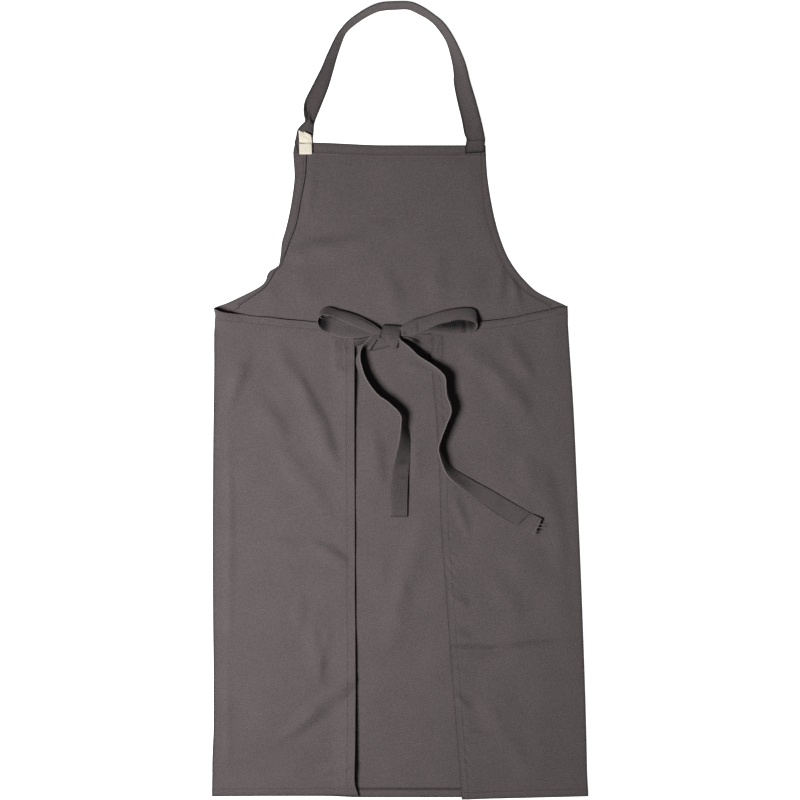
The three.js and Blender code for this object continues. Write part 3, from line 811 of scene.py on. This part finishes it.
stitch_tree = stitch_nodes()
dark_thread = thread_finish("thread_grey", THREAD_GREY)
edge_line = sewn_line(EDGE_HEM)
wrap_columns = left_panel["x"].shape[1]
hem_lines = [
    skirt_ids[sewn_line(BOTTOM_HEM)],
    skirt_ids[:, edge_line],
    skirt_ids[:, -1 - edge_line],
    skirt_ids[-1 - edge_line, :wrap_columns],
    skirt_ids[-1 - edge_line, -wrap_columns:],
    bib_ids[-1 - sewn_line(BIB_HEM)],
    bib_ids[:, hem_shares.size - 1],
    bib_ids[:, -hem_shares.size],
]
hem_stitches = sew("hem_stitches", sum((both_faces(walls, ids) for ids in hem_lines), []), dark_thread)
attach(hem_stitches, "root")

# Neck strap: a flat tape of the same twill, folded to two plies and sewn along one edge.
# Its right end is sewn flat on the bib, it stands half on edge round the neck, and it is pinched at the
# label, which covers its left end.
TAPE = 1.5
TAPE_WIDTH = 25.0
TAPE_SLACK = 4.0
TAPE_PITCH = 2.6
TAPE_SEWN_AT = 2.1
TAPE_SEWN_HALF = 0.8
TAPE_SEWN_IN = 0.22
TAPE_UNEVEN = 0.5
TAPE_UNEVEN_LENGTH = 40
ARCH_WIDENS = 2.3
PLEAT_TURN = 0.02
TAPE_GREY = (0.0862, 0.0712, 0.0727)
tape_finish = woven_finish("tape_grey", TAPE_GREY)
tape_edge = np.array([0, 0.3, 0.9, 1.5, 2.1, 2.7, 3.6])
tape_lines = np.concatenate([tape_edge, np.linspace(5, TAPE_WIDTH - 5, 11), TAPE_WIDTH - tape_edge[::-1]])


def spline(points, count):
    """Even run of points on a smooth curve through given ones."""
    padded = np.vstack([2 * points[0] - points[1], points, 2 * points[-1] - points[-2]])
    at = np.linspace(0, len(points) - 1, count)
    i = np.minimum(at.astype(int), len(points) - 2)
    t = (at - i)[:, None]
    a, b, c, d = (padded[i + k] for k in range(4))
    return b + 0.5 * t * (c - a + t * (2 * a - 5 * b + 4 * c - d + t * (3 * (b - c) + d - a)))


# A rung is a strap's upper point, its lower point and the height of its arch between them.
# A dent is a place along and across a strap, its half widths, its depth and its painted shade; a place below
# 0 along the strap is counted from its end.
def tape(
    rungs, dents=(), pitch=TAPE_PITCH, full=TAPE_WIDTH, pleats=2, seed=1, thickness=TAPE,
    rim=1.0, rim_depth=1.0,
):
    """Closed strap through rungs from lower to upper edge; where rungs are short it gathers in pleats."""
    upper, lower, arch = np.split(np.array(rungs, float), [3, 6], axis=1)
    length = np.linalg.norm(np.diff((upper + lower) / 2, axis=0), axis=1).sum()
    count = max(8, round(length / pitch))
    upper, lower, arch = (spline(values, count) for values in (upper, lower, arch))
    middle = (upper + lower) / 2
    tangent = np.gradient(middle, axis=0)
    normal = np.cross(tangent, upper - lower)
    normal /= np.linalg.norm(normal, axis=1, keepdims=True)
    share = (tape_lines / TAPE_WIDTH)[None, :]
    width = np.linalg.norm(upper - lower, axis=1)[:, None]
    run = np.concatenate([[0], np.cumsum(np.linalg.norm(np.diff(middle, axis=0), axis=1))])[:, None]
    short = np.clip(full - TAPE_SLACK - np.hypot(width, ARCH_WIDENS * arch), 0, full)
    ripple = np.cos(math.tau * pleats * share + PLEAT_TURN * run) / (4 * max(pleats, 1)) * min(pleats, 1)
    uneven = TAPE_UNEVEN * (swell(run, share * full, TAPE_UNEVEN_LENGTH, seed) - 0.5)
    held = ease(0, 0.3, 0.5 - np.abs(share - 0.5))
    lift = arch * (1 - (2 * share - 1) ** 2) + short * ripple + uneven * held
    painted_shade = np.zeros_like(lift)
    for at, across, run_half, across_half, depth, shade in dents:
        along = (run - at - (run[-1] if at < 0 else 0)) / run_half
        mark = np.exp(-along**2 - ((share * full - across) / across_half) ** 2)
        lift = lift - depth * mark
        painted_shade = painted_shade + shade * mark
    points = lerp(lower[:, None], upper[:, None], share[..., None]) + normal[:, None] * lift[..., None]
    flat = np.stack(np.broadcast_arrays(share * full, run), -1).reshape(-1, 2)
    inward = np.broadcast_to(full * np.minimum(share, 1 - share), lift.shape)
    inward = np.minimum(inward, np.minimum(run, run[-1] - run)).ravel()
    sewn = np.broadcast_to(on_line(share * full, TAPE_SEWN_AT, TAPE_SEWN_HALF), lift.shape).ravel()
    half = thickness / 2 * nose(inward) - TAPE_SEWN_IN * sewn
    # Positive rims are edges lighter from wear and painted highlight, negative rims painted shade, and dents
    # add painted shade.
    worn = rim * np.exp(-inward / rim_depth) - painted_shade.ravel()
    ids = np.arange(lift.size).reshape(lift.shape)
    walls, faces = shell(points.reshape(-1, 3), quads_of(ids), half, half)
    return dict(
        points=walls, faces=faces, flat=np.tile(flat, (2, 1)), worn=np.tile(worn, 2), sewn=np.tile(sewn, 2),
        ids=ids, length=float(run[-1, 0]),
    )


def edge_seam(part):
    """Sewing line along a strap, on both of its faces."""
    return both_faces(part["points"], part["ids"][:, np.searchsorted(tape_lines, TAPE_SEWN_AT)])


def make_straps(name, parts, finish):
    """One mesh of several straps, whose plies lie on each other."""
    starts = np.cumsum([0] + [len(part["points"]) for part in parts])
    faces = np.concatenate([part["faces"] + start for part, start in zip(parts, starts)])
    points, flat, worn, sewn = (
        np.concatenate([part[key] for part in parts]) for key in ("points", "flat", "worn", "sewn")
    )
    return make_piece(name, points, faces, finish, flat, worn=worn, sewn=sewn)


BOX_POINTS = 16


def crossed_box(left, low, right, high):
    """Box with a cross in it, as sewn to hold a strap's end."""
    corners = np.array([(left, low), (right, low), (right, high), (left, high), (left, low)], float)
    legs = [*zip(corners, corners[1:]), (corners[0], corners[2]), (corners[1], corners[3])]
    return [np.linspace(start, end, BOX_POINTS) for start, end in legs]


neck_rungs = [
    (115, 336.6, 3, 88, 334.8, 3, 0), (115.2, 346, 3, 88.6, 344, 3, 0),
    (115.8, 354, 3.2, 90, 354.2, 3, 0), (114.4, 362.4, 3.4, 87.2, 362, 2.4, 0.2),
    (110.3, 380.6, 5, 83.6, 381, 1.4, 1), (103, 406.4, 9.4, 77.4, 407, 1.2, 1.2),
    (95, 432, 14.4, 73, 431, 1.2, 1.2), (91.7, 445.4, 16.4, 72.8, 443.4, 1.2, 1),
    (85.9, 463, 19.4, 70.2, 460.8, 1.2, 0.8), (73.8, 488.2, 22, 62.8, 486.4, 1.2, 0.7),
    (60.4, 508.4, 22.8, 50.2, 505.8, 1.2, 0.6), (45.9, 520.8, 22.8, 39, 516.6, 1.2, 0.6),
    (30.3, 531.3, 22.6, 26, 524, 1.2, 0.6), (14.7, 537.7, 22.5, 11.4, 530.5, 1.2, 0.6),
    (-6, 538.4, 22.4, -6, 530.4, 1.2, 0.6), (-24.3, 537.1, 22.5, -22.5, 529.2, 1.2, 0.6),
    (-37.2, 533, 22.8, -33.3, 526.4, 1.2, 0.6), (-52.9, 524.4, 22.8, -48.1, 518.9, 1.2, 0.6),
    (-68.8, 513, 23, -63, 508.4, 1.2, 0.5), (-79.2, 501.6, 23.4, -72, 500, 1.2, 0.4),
    (-86.7, 490.8, 22.8, -77.1, 490.8, 1.2, 0.6), (-97.8, 468.4, 21, -85.1, 467.4, 1.2, 0.8),
    (-105.9, 450, 18.2, -91, 446.4, 1.2, 1), (-116.7, 429.2, 15.2, -97.6, 424, 1.2, 1),
    (-127.6, 408.2, 13.2, -106.2, 402, 1.3, 0.8), (-130.6, 397, 11, -109.6, 393.5, 1.6, 0.6),
    (-130.4, 387, 9.4, -113.2, 385, 2, 0.8), (-129.2, 378.4, 7.6, -116.2, 377.2, 2.6, 1),
    (-134.6, 372.8, 6, -117, 371.2, 2.8, 1), (-139.4, 366.5, 4.8, -117.4, 364, 3, 0.6),
    (-141.4, 357.4, 3.6, -118.3, 355, 3, 0.3), (-143.4, 348.7, 3.1, -118, 348, 3, 0),
    (-141, 343, 3, -117.8, 342, 3, 0), (-139.5, 336.5, 3, -117.5, 336, 3, 0),
]
# Dents on the neck strap add painted shade: dark lines at its sewn end and in the pinch by the label.
neck_dents = [
    (0.2, 12.5, 0.8, 40, 0, 5), (17, 12.5, 0.9, 40, 0.3, 3),
    (-62, 22, 5, 1.4, -1.2, 5.5), (-57, 19.7, 4.5, 1.4, -1.6, 6), (-52, 17.4, 4, 1.4, -1.8, 6.5),
    (-48, 15.5, 3.5, 1.5, -1.4, 5.5), (-56, 14, 4, 1.3, -1, 3.5), (-51, 11.6, 3.5, 1.4, -1.4, 5),
    (-47.5, 9.2, 3, 1.6, -1.6, 6.5), (-45, 6, 2.6, 2.2, -1.4, 6.5), (-43, 3, 2.6, 2.5, -1, 6),
]
# Its negative rim is a painted dark outline along both edges.
neck = tape(neck_rungs, neck_dents, pitch=1.6, seed=81, rim=-6.5, rim_depth=2.3)
neck_tape = make_straps("neck_tape", [neck], tape_finish)
END_BOX_Z = 3.75
end_box = [np.column_stack([leg, np.full(len(leg), END_BOX_Z)]) for leg in crossed_box(91, 339, 113, 352.5)]
neck_stitches = sew("neck_stitches", edge_seam(neck) + end_box, dark_thread)
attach(neck_tape, "root")
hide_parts("neck_strap")
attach(neck_stitches, "root")

# Corner label: a bare loop of cream woven tape, sewn to the bib over the end of the neck strap.
# Its two plies part above the seam, and the tip of the upper one is folded over.
LABEL_CREAM = (0.758, 0.702, 0.583)
LABEL_WIDTH = 18.0
LABEL_PLY = 0.7
label_finish = woven_finish("label_cream", LABEL_CREAM, sheen=0.05, contrast=0.4)
lower_ply = tape([
    (-136.5, 333.6, 5.4, -119.7, 333.6, 5.4, 0), (-136.5, 338, 5.5, -119.8, 338, 5.5, 0.1),
    (-136.6, 343, 5.6, -120, 343, 5.6, 0.1), (-136.8, 347.9, 5.8, -120.4, 347.6, 5.8, 0),
], pitch=1.0, full=LABEL_WIDTH, thickness=LABEL_PLY, seed=83)
upper_ply = tape([
    (-136.6, 340, 4.5, -119.8, 340, 4.5, 0), (-136.8, 346, 4.6, -119.8, 346, 4.6, 0),
    (-136.8, 350, 5.4, -119.7, 349, 5.4, 0.3), (-137, 357, 6.4, -119.9, 353.5, 6.4, 0.5),
    (-137.8, 366, 6.2, -121.4, 359, 6.2, 0.2),
], pitch=1.0, full=LABEL_WIDTH, thickness=LABEL_PLY, seed=84)
folded_tip = tape([
    (-131, 364.5, 7.3, -128, 359.5, 7.2, 0), (-126, 362.3, 7.4, -124.5, 357, 7.3, 0.2),
    (-121, 359.8, 7.3, -119.9, 355, 7, 0),
], pitch=1.0, full=6.0, pleats=0, thickness=LABEL_PLY, seed=86)
label_loop = make_straps("label_loop", [lower_ply, upper_ply, folded_tip], label_finish)
SEAM_Y = 348.6
SEAM_Z = 6.1
SEAM_WAVE = 0.4
seam_x = np.linspace(-136.4, -120.6, 24)
seam_y = SEAM_Y + SEAM_WAVE * np.sin(np.linspace(0, 5 * math.tau, len(seam_x)))
label_seam = np.column_stack([seam_x, seam_y, np.full(len(seam_x), SEAM_Z)])
label_stitches = sew("label_stitches", [label_seam], dark_thread, pitch=1.0, length=1.6, thread=0.8)
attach(label_loop, "root")
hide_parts("corner_label")
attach(label_stitches, "root")
label_length = sum(part["length"] for part in (lower_ply, upper_ply)) * MM

# Left waist tie: a tape sewn under the left back panel's free edge and tied into the left half of the bow.
# Its root is gathered into the knot, its loop lies open to the left, and its tail runs down on edge.
BOW_PITCH = 1.4
TAIL = 2.0
# The tails' bright rims are painted highlight along their upper edges.
TAIL_RIM_HIGHLIGHT = 6.0
# The root's dents add painted shade in its gathers by the knot.
left_root = tape([
    (-80, 96, 2.6, -80, 72, 2.6, 0), (-66, 93, 2.9, -66, 71.5, 3.2, 0.3), (-58, 91, 4.6, -58, 73.5, 4, 1),
    (-49, 90, 5.6, -49, 77, 4.4, 0.8), (-40, 90.5, 5.8, -40, 82.5, 4.6, 0.4), (-26, 91, 6, -26, 86, 5, 0),
], [
    (36, 1.2, 16, 1.6, 0, 6), (34, 7, 14, 1.3, 1, 5), (34, 14, 14, 1.3, 1, 5), (28, 12, 14, 20, 0, 1.8),
], pitch=BOW_PITCH, seed=85)
# Dents paint shade: a dark line under the upper edge by the knot, a painted shadow in the loop's mouth and a
# darker inner ply; its rim is lighter from wear and painted highlight.
left_loop_dents = [
    (20, 3.6, 18, 1.2, 1.6, 5), (107, 12, 9, 18, 0, 7), (145, 12, 40, 7, 0, 1.2),
]
left_loop = tape([
    (-26, 88, 9.4, -23, 94, 9.6, 0), (-33, 88.6, 10, -28, 97, 9, 0.4),
    (-42, 91.5, 10.8, -36, 103, 8, 0.8), (-52, 96.2, 11.6, -46, 108.6, 6.8, 1.2),
    (-61, 99.8, 12.4, -55, 113.2, 6, 1.6), (-75.8, 106, 13.6, -69, 118.6, 5.4, 1.8),
    (-86, 110.4, 15.2, -82, 122, 5, 1.6), (-94, 113.2, 17.2, -94, 125.8, 4.8, 1),
    (-101.5, 115.2, 19, -102, 125, 4.9, 0.4), (-106.8, 114.2, 19.6, -107.4, 121.4, 5, 0),
    (-109.4, 111.6, 19.6, -109.8, 116.8, 5.2, 0), (-111.6, 106.5, 20, -110, 112.6, 5.4, 0),
    (-110.4, 101.2, 19.6, -107.6, 110.6, 5.2, 0), (-107.2, 96.4, 17.6, -104, 110.8, 5.2, -1),
    (-102.8, 93.2, 13.4, -99.6, 111.8, 5.4, -1.4), (-96.6, 90.6, 10, -94, 112.2, 5.8, -1),
    (-84, 85.8, 8.8, -82, 109, 6.6, -0.4), (-72.6, 84.2, 9.2, -70, 106, 7.2, -0.2),
    (-57, 84.2, 9.2, -54, 101, 7.4, -0.2), (-46, 86, 8.8, -42, 96, 7.6, 0), (-33, 88, 8, -31, 93, 7.6, 0),
    (-24, 88.5, 7.8, -23, 92, 7.8, 0),
], left_loop_dents, pitch=BOW_PITCH, pleats=0, seed=87, rim=2.2)
# Dents paint shade on the left tail: dark lines at its crease, end and upper edge, and a darker lower part.
left_tail_dents = [
    (-54, 8, 1.6, 7, 0.9, 1.4), (-75, 14, 4, 10, 0.8, 1.8), (-45, 0.4, 50, 0.9, 0, 1),
    (-0.3, 12.5, 0.9, 40, 0, 10), (-46, 12, 50, 18, 0, 1.5), (-106, 12, 24, 16, 0, 2.4),
    (-36, 25, 44, 1, 0, 7),
]
left_tail = tape([
    (-28, 89, 8, -28, 84, 6.4, 0), (-36.4, 86.3, 11, -37, 81, 6, 0), (-43, 80.4, 13.5, -45, 75.5, 4.8, 0),
    (-49.4, 73.8, 17.5, -52.5, 69.5, 3.6, 0), (-53.2, 66, 21, -56.6, 63, 2.2, 0.4),
    (-53.8, 56, 23.4, -59.3, 55.5, 1.7, 0.5), (-52, 47, 24.2, -59, 46.5, 1.5, 0.5),
    (-47.6, 33, 25, -51.5, 31, 1.5, 0.3), (-38.9, 18, 25.4, -40.4, 16.6, 1.5, 0),
    (-28.8, 6.1, 25.6, -29.2, 5.2, 1.5, 0), (-18.8, -0.8, 25.6, -18.8, -1.4, 1.5, 0),
    (-9.9, -8.4, 25.6, -9, -8.2, 1.5, 0), (-2.4, -15.9, 25.4, 0, -14.8, 1.5, 0),
    (1.4, -23.5, 25, 6.6, -21.6, 1.5, -0.3), (1, -32, 24.6, 8.6, -32, 1.5, -0.4),
    (-1.6, -53.6, 21.4, 14.2, -54.5, 1.5, -0.4), (-7.6, -78.7, 15.5, 13.8, -79, 3, 0),
    (-11, -97.6, 12, 11.6, -97.6, 4.6, 0.3), (-12.4, -125, 9.8, 10.2, -125, 5.2, 0.3),
    (-13, -159, 9.2, 9.7, -159, 5.4, 0.3),
], left_tail_dents, pitch=1.8, seed=89, thickness=TAIL, rim=TAIL_RIM_HIGHLIGHT)


def tail_hem(part, inset=6):
    """Sewing line across a strap near its end, on both of its faces."""
    return both_faces(part["points"], part["ids"][-inset, 2:-2])


def on_panel(panel, path):
    """A path on the upper face of a back panel."""
    away = np.hypot(panel["x"].ravel() - path[:, :1], panel["y"].ravel() - path[:, 1:])
    return np.column_stack([path, panel["z"].ravel()[away.argmin(axis=1)] + CLOTH / 2])


left_tie = make_straps("left_tie", [left_root, left_loop, left_tail], tape_finish)
left_box = [on_panel(left_panel, leg) for leg in crossed_box(-80, 47, -64, 87)]
left_seams = edge_seam(left_loop) + edge_seam(left_tail) + tail_hem(left_tail)
left_stitches = sew("left_tie_stitches", left_seams + left_box, dark_thread)
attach(left_tie, "root")
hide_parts("waist_tie_left")
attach(left_stitches, "root")
left_length = sum(part["length"] for part in (left_root, left_loop, left_tail)) * MM

# Right waist tie: the tape from the right back panel, which wraps the bow in its knot.
# Its loop lies to the right, and its tail winds down on edge and lies flat at its end.
# The knot's parts have a painted dark outline.
KNOT_RIM_SHADE = -6.0
# The root's dents paint a dark wedge of shade beside the tail.
right_root = tape([
    (60, 90, 2.6, 60, 66, 2.6, 0), (45, 90, 3.6, 45, 66, 3.2, 0), (34, 89.5, 5.4, 34, 68.6, 4, 0.8),
    (24, 89.5, 7, 24, 75, 4.6, 1.5), (12, 90, 7.4, 12, 82.6, 5.2, 1), (-6, 91, 7, -6, 86, 6, 0),
], [(40, 8, 6.5, 8, 2, 7), (28, 12, 14, 20, 0, 0.8)], pitch=BOW_PITCH, seed=91)
# Dents paint shade: a dark line along the upper ply's front edge, a painted shadow in the loop's mouth and a
# darker inner ply; its rim is lighter from wear and painted highlight.
right_loop_dents = [
    (12, 18, 2.5, 4, -1.6, 2), (30, 12, 2.6, 7, -1.6, 1.5), (62, 24.6, 40, 0.9, 0, 6),
    (158, 10.5, 38, 10.5, 0, 6.2), (158, 2, 38, 12, 0, 1.6), (127, 9, 10, 11, 0, 2.2),
]
right_loop = tape([
    (-4, 88, 9.6, -4, 96, 9.8, 0), (2, 87, 10, 2.3, 100, 10, -0.6), (9, 86.4, 10.6, 9, 104.4, 9, -1),
    (19, 86.9, 11.2, 19, 109, 7.6, -1.2), (28, 90, 11.6, 28, 111.4, 6.8, -1.4),
    (36, 93.8, 12, 36, 113.6, 6.4, -1.6), (45, 98.4, 12.2, 45, 116.8, 6.2, -1.6),
    (54, 102.3, 12.4, 54, 119.6, 6, -1.6), (65.5, 104.8, 12.6, 66, 122, 6, -1.6),
    (77, 108.3, 12.8, 77, 123.8, 6, -1.4), (86, 108.3, 13, 86.3, 124.8, 6, -1.2),
    (96.5, 106.8, 13.4, 95.4, 124.6, 6, -0.8), (102.4, 104.2, 13.8, 101.6, 122, 6, 0),
    (104.6, 101.4, 13.4, 104, 118, 5.6, 0), (104.2, 97, 12.2, 103.6, 114, 5.2, 0),
    (101.4, 93.3, 11.2, 101.3, 111.6, 4.8, 1), (97.6, 90.8, 10.8, 96.5, 110.2, 4.4, 3),
    (93, 89.9, 10.8, 92.5, 110, 4.2, 3.6), (89.4, 89.4, 11, 89, 110, 4.2, 1),
    (83.5, 89.2, 11.2, 83, 110, 4, 4.4), (75, 89.3, 11.4, 75, 110, 4, 4),
    (60, 90.2, 11.4, 60, 109, 4, 4.2), (45, 90.6, 10.6, 45, 106, 4.4, 3.4), (34, 90, 9.4, 34, 103, 5, 2),
    (20, 90, 8.2, 20, 98.5, 6, 0.8), (6, 90, 7.6, 6, 96, 7.2, 0), (-4, 90, 7.6, -4, 94.5, 7.4, 0),
], right_loop_dents, pitch=BOW_PITCH, pleats=0, seed=93, rim=1.6)
# Dents paint shade on the right tail: a dark line along its lower edge, at the sewn line by its end, and
# darker patches.
right_tail_dents = [
    (-21.6, 12.5, 0.9, 14, -0.9, 6), (-58, 24.8, 52, 1, 0, 10), (-118, 14, 14, 9, 0, 1.6),
    (-60, 10, 6, 8, 0, 0.8),
]
right_tail = tape([
    (-4, 90, 9, -8, 84, 7, 0), (1.5, 82, 15, -2.5, 77, 5.5, 0), (7, 77, 18, 3, 71.5, 4, 0),
    (14, 70.5, 21.5, 10, 65, 3, 0), (25.3, 59.4, 23, 22, 56, 2.4, 0.2),
    (41.6, 49, 24.4, 38.5, 45, 3.8, 0.3), (55.4, 38.1, 27, 53, 35, 5.4, 0.3),
    (61.1, 29.4, 28.4, 58.5, 26.5, 5.2, 0), (61.9, 18, 28.6, 62, 17.5, 4.9, 0),
    (63, 5.4, 28.4, 66, 6.5, 4.7, 0), (68, -8.4, 28.4, 69.8, -7.2, 4.6, 0),
    (68.5, -18.5, 28.6, 69, -18.5, 4.6, 0), (63, -32.2, 28.6, 63, -33, 4.6, 0),
    (55.4, -52.4, 28.4, 56, -53, 4.6, 0), (51.7, -65, 28, 54, -66, 4.6, 0),
    (53.6, -76.2, 27, 58, -75.5, 4.6, 0), (57.9, -90, 25, 66, -86.5, 4.6, 0),
    (67, -106, 19, 79.5, -97.5, 4.7, 0), (88, -124, 13.4, 100, -109.5, 5, 0),
    (113, -141.5, 10.6, 122.5, -122, 5.6, 0), (132, -154.8, 9.6, 142.5, -134, 6, 0),
    (146, -163.6, 9.2, 160, -144, 6, 0), (159, -170, 9, 177, -153.6, 6.2, 0),
    (171, -177, 10, 186, -157.8, 9, 0), (181.8, -183.1, 12, 192.2, -160.9, 11, 0),
], right_tail_dents, pitch=1.6, seed=95, thickness=TAIL, rim=TAIL_RIM_HIGHLIGHT)
# A dent paints shade that darkens the knot's face.
knot_wrap = tape([
    (2, 100, 3.6, -23.6, 101.6, 3.6, 0), (2, 99.6, 5.6, -23.8, 101, 5.6, 0.4),
    (1.8, 97.6, 8.4, -24, 99.2, 8.2, 0.8), (1, 92.6, 11.6, -25, 95, 11.4, 1.4),
    (0.2, 86, 13, -27.4, 88, 12.4, 1.6), (-0.6, 80.5, 12.4, -23.5, 83, 12, 1.4),
    (-2.8, 75.4, 10.6, -18.5, 78, 10.2, 1), (-4.6, 71.4, 8.6, -12.5, 73, 8.2, 0.5),
    (-6, 68.6, 7, -8, 69.4, 6.8, 0),
], [(14, 12.5, 14, 30, 0, 1.7)], pitch=BOW_PITCH, pleats=0, seed=97, rim=KNOT_RIM_SHADE)
knot_flap = tape([
    (-6, 87, 3.8, -10, 73.8, 3.6, 0), (-20, 86.5, 3.6, -25, 69.6, 3.4, 0),
    (-30, 86, 3.6, -41, 66.2, 3.4, 0), (-33, 85.8, 4.8, -45.5, 67.6, 4.4, 0),
    (-32.6, 85.6, 6.6, -45, 67.4, 6.2, 0), (-28.6, 85.4, 7.6, -40.4, 66.6, 7.2, 0),
], pitch=BOW_PITCH, pleats=0, seed=99, rim=KNOT_RIM_SHADE)
right_straps = [right_root, right_loop, right_tail, knot_wrap, knot_flap]
right_tie = make_straps("right_tie", right_straps, tape_finish)
right_box = [on_panel(right_panel, leg) for leg in crossed_box(44, 53, 57, 88)]
right_seams = edge_seam(right_loop) + edge_seam(right_tail) + tail_hem(right_tail) + edge_seam(knot_flap)
right_stitches = sew("right_tie_stitches", right_seams + right_box, dark_thread)

# Loose threads: yarns of the weave that stick out where the right tail's end was cut.
# They are thicker and paler than the sewing thread, and lighter than the cloth they come from, as a painted
# highlight where the lamp catches them.
FRAY = 0.9
FRAY_HIGHLIT_GREY = (0.15, 0.13, 0.13)
fray_lines = [
    np.array([(187, -167.8, 11.6), (189.9, -168.5, 12), (193, -168.1, 12.4), (195.8, -168.6, 12)]),
    np.array([(186, -172.6, 11.8), (188.6, -173.1, 12.2), (191.6, -172.1, 12.4), (194.7, -172.6, 12)]),
    np.array([(184.6, -177.4, 12), (186.6, -178, 12.4), (189, -177.2, 12.2)]),
]
fray_finish = thread_finish("fray_highlit_grey", FRAY_HIGHLIT_GREY)
frayed_end = sew("frayed_end", fray_lines, fray_finish, pitch=0.8, length=1.8, thread=FRAY)
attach(right_tie, "root")
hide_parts("waist_tie_right")
for trim in (right_stitches, frayed_end):
    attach(trim, "root")
right_length = sum(part["length"] for part in right_straps) * MM

# Floor and light: the apron lies on a wide white floor that glows, so it stays white in the picture.
# One round lamp stands above the floor at the lower left, and a faint even light comes from all sides.
FLOOR_SIDE = 80.0
FLOOR_WHITE = (0.86, 0.86, 0.86, 1)
FLOOR_GLOW = 0.95
WHITE = (1, 1, 1, 1)
LAMP_Z = 1.1
LAMP_SIZE = 0.4
LAMP_POWER = 24.0
LAMP_AIM_Y = 0.24
EVEN_LIGHT = 0.06

half = FLOOR_SIDE / 2
floor_corners = [(-half, -half, 0), (half, -half, 0), (half, half, 0), (-half, half, 0)]
floor_mesh = bpy.data.meshes.new("floor")
floor_mesh.from_pydata(floor_corners, [], [(0, 1, 2, 3)])
floor = bpy.data.objects.new("floor", floor_mesh)
floor_paint, _, floor_surface = new_finish("floor_white")
set_inputs(
    floor_surface, Base_Color=FLOOR_WHITE, Roughness=0.9, Emission_Color=WHITE, Emission_Strength=FLOOR_GLOW,
)
floor_mesh.materials.append(floor_paint)
scene.collection.objects.link(floor)

lamp = bpy.data.objects.new("lamp", bpy.data.lights.new("lamp", "AREA"))
lamp.data.shape = "DISK"
lamp.data.size = LAMP_SIZE
lamp.data.energy = LAMP_POWER
lamp.location = (LAMP_X, LAMP_Y, LAMP_Z)
lamp.rotation_euler = (Vector((0, LAMP_AIM_Y, 0)) - lamp.location).to_track_quat("-Z", "Y").to_euler()
scene.collection.objects.link(lamp)

world = bpy.data.worlds.new("studio")
world.use_nodes = True
set_inputs(world.node_tree.nodes["Background"], Color=WHITE, Strength=EVEN_LIGHT)
scene.world = world
scene.view_settings.view_transform = "Standard"
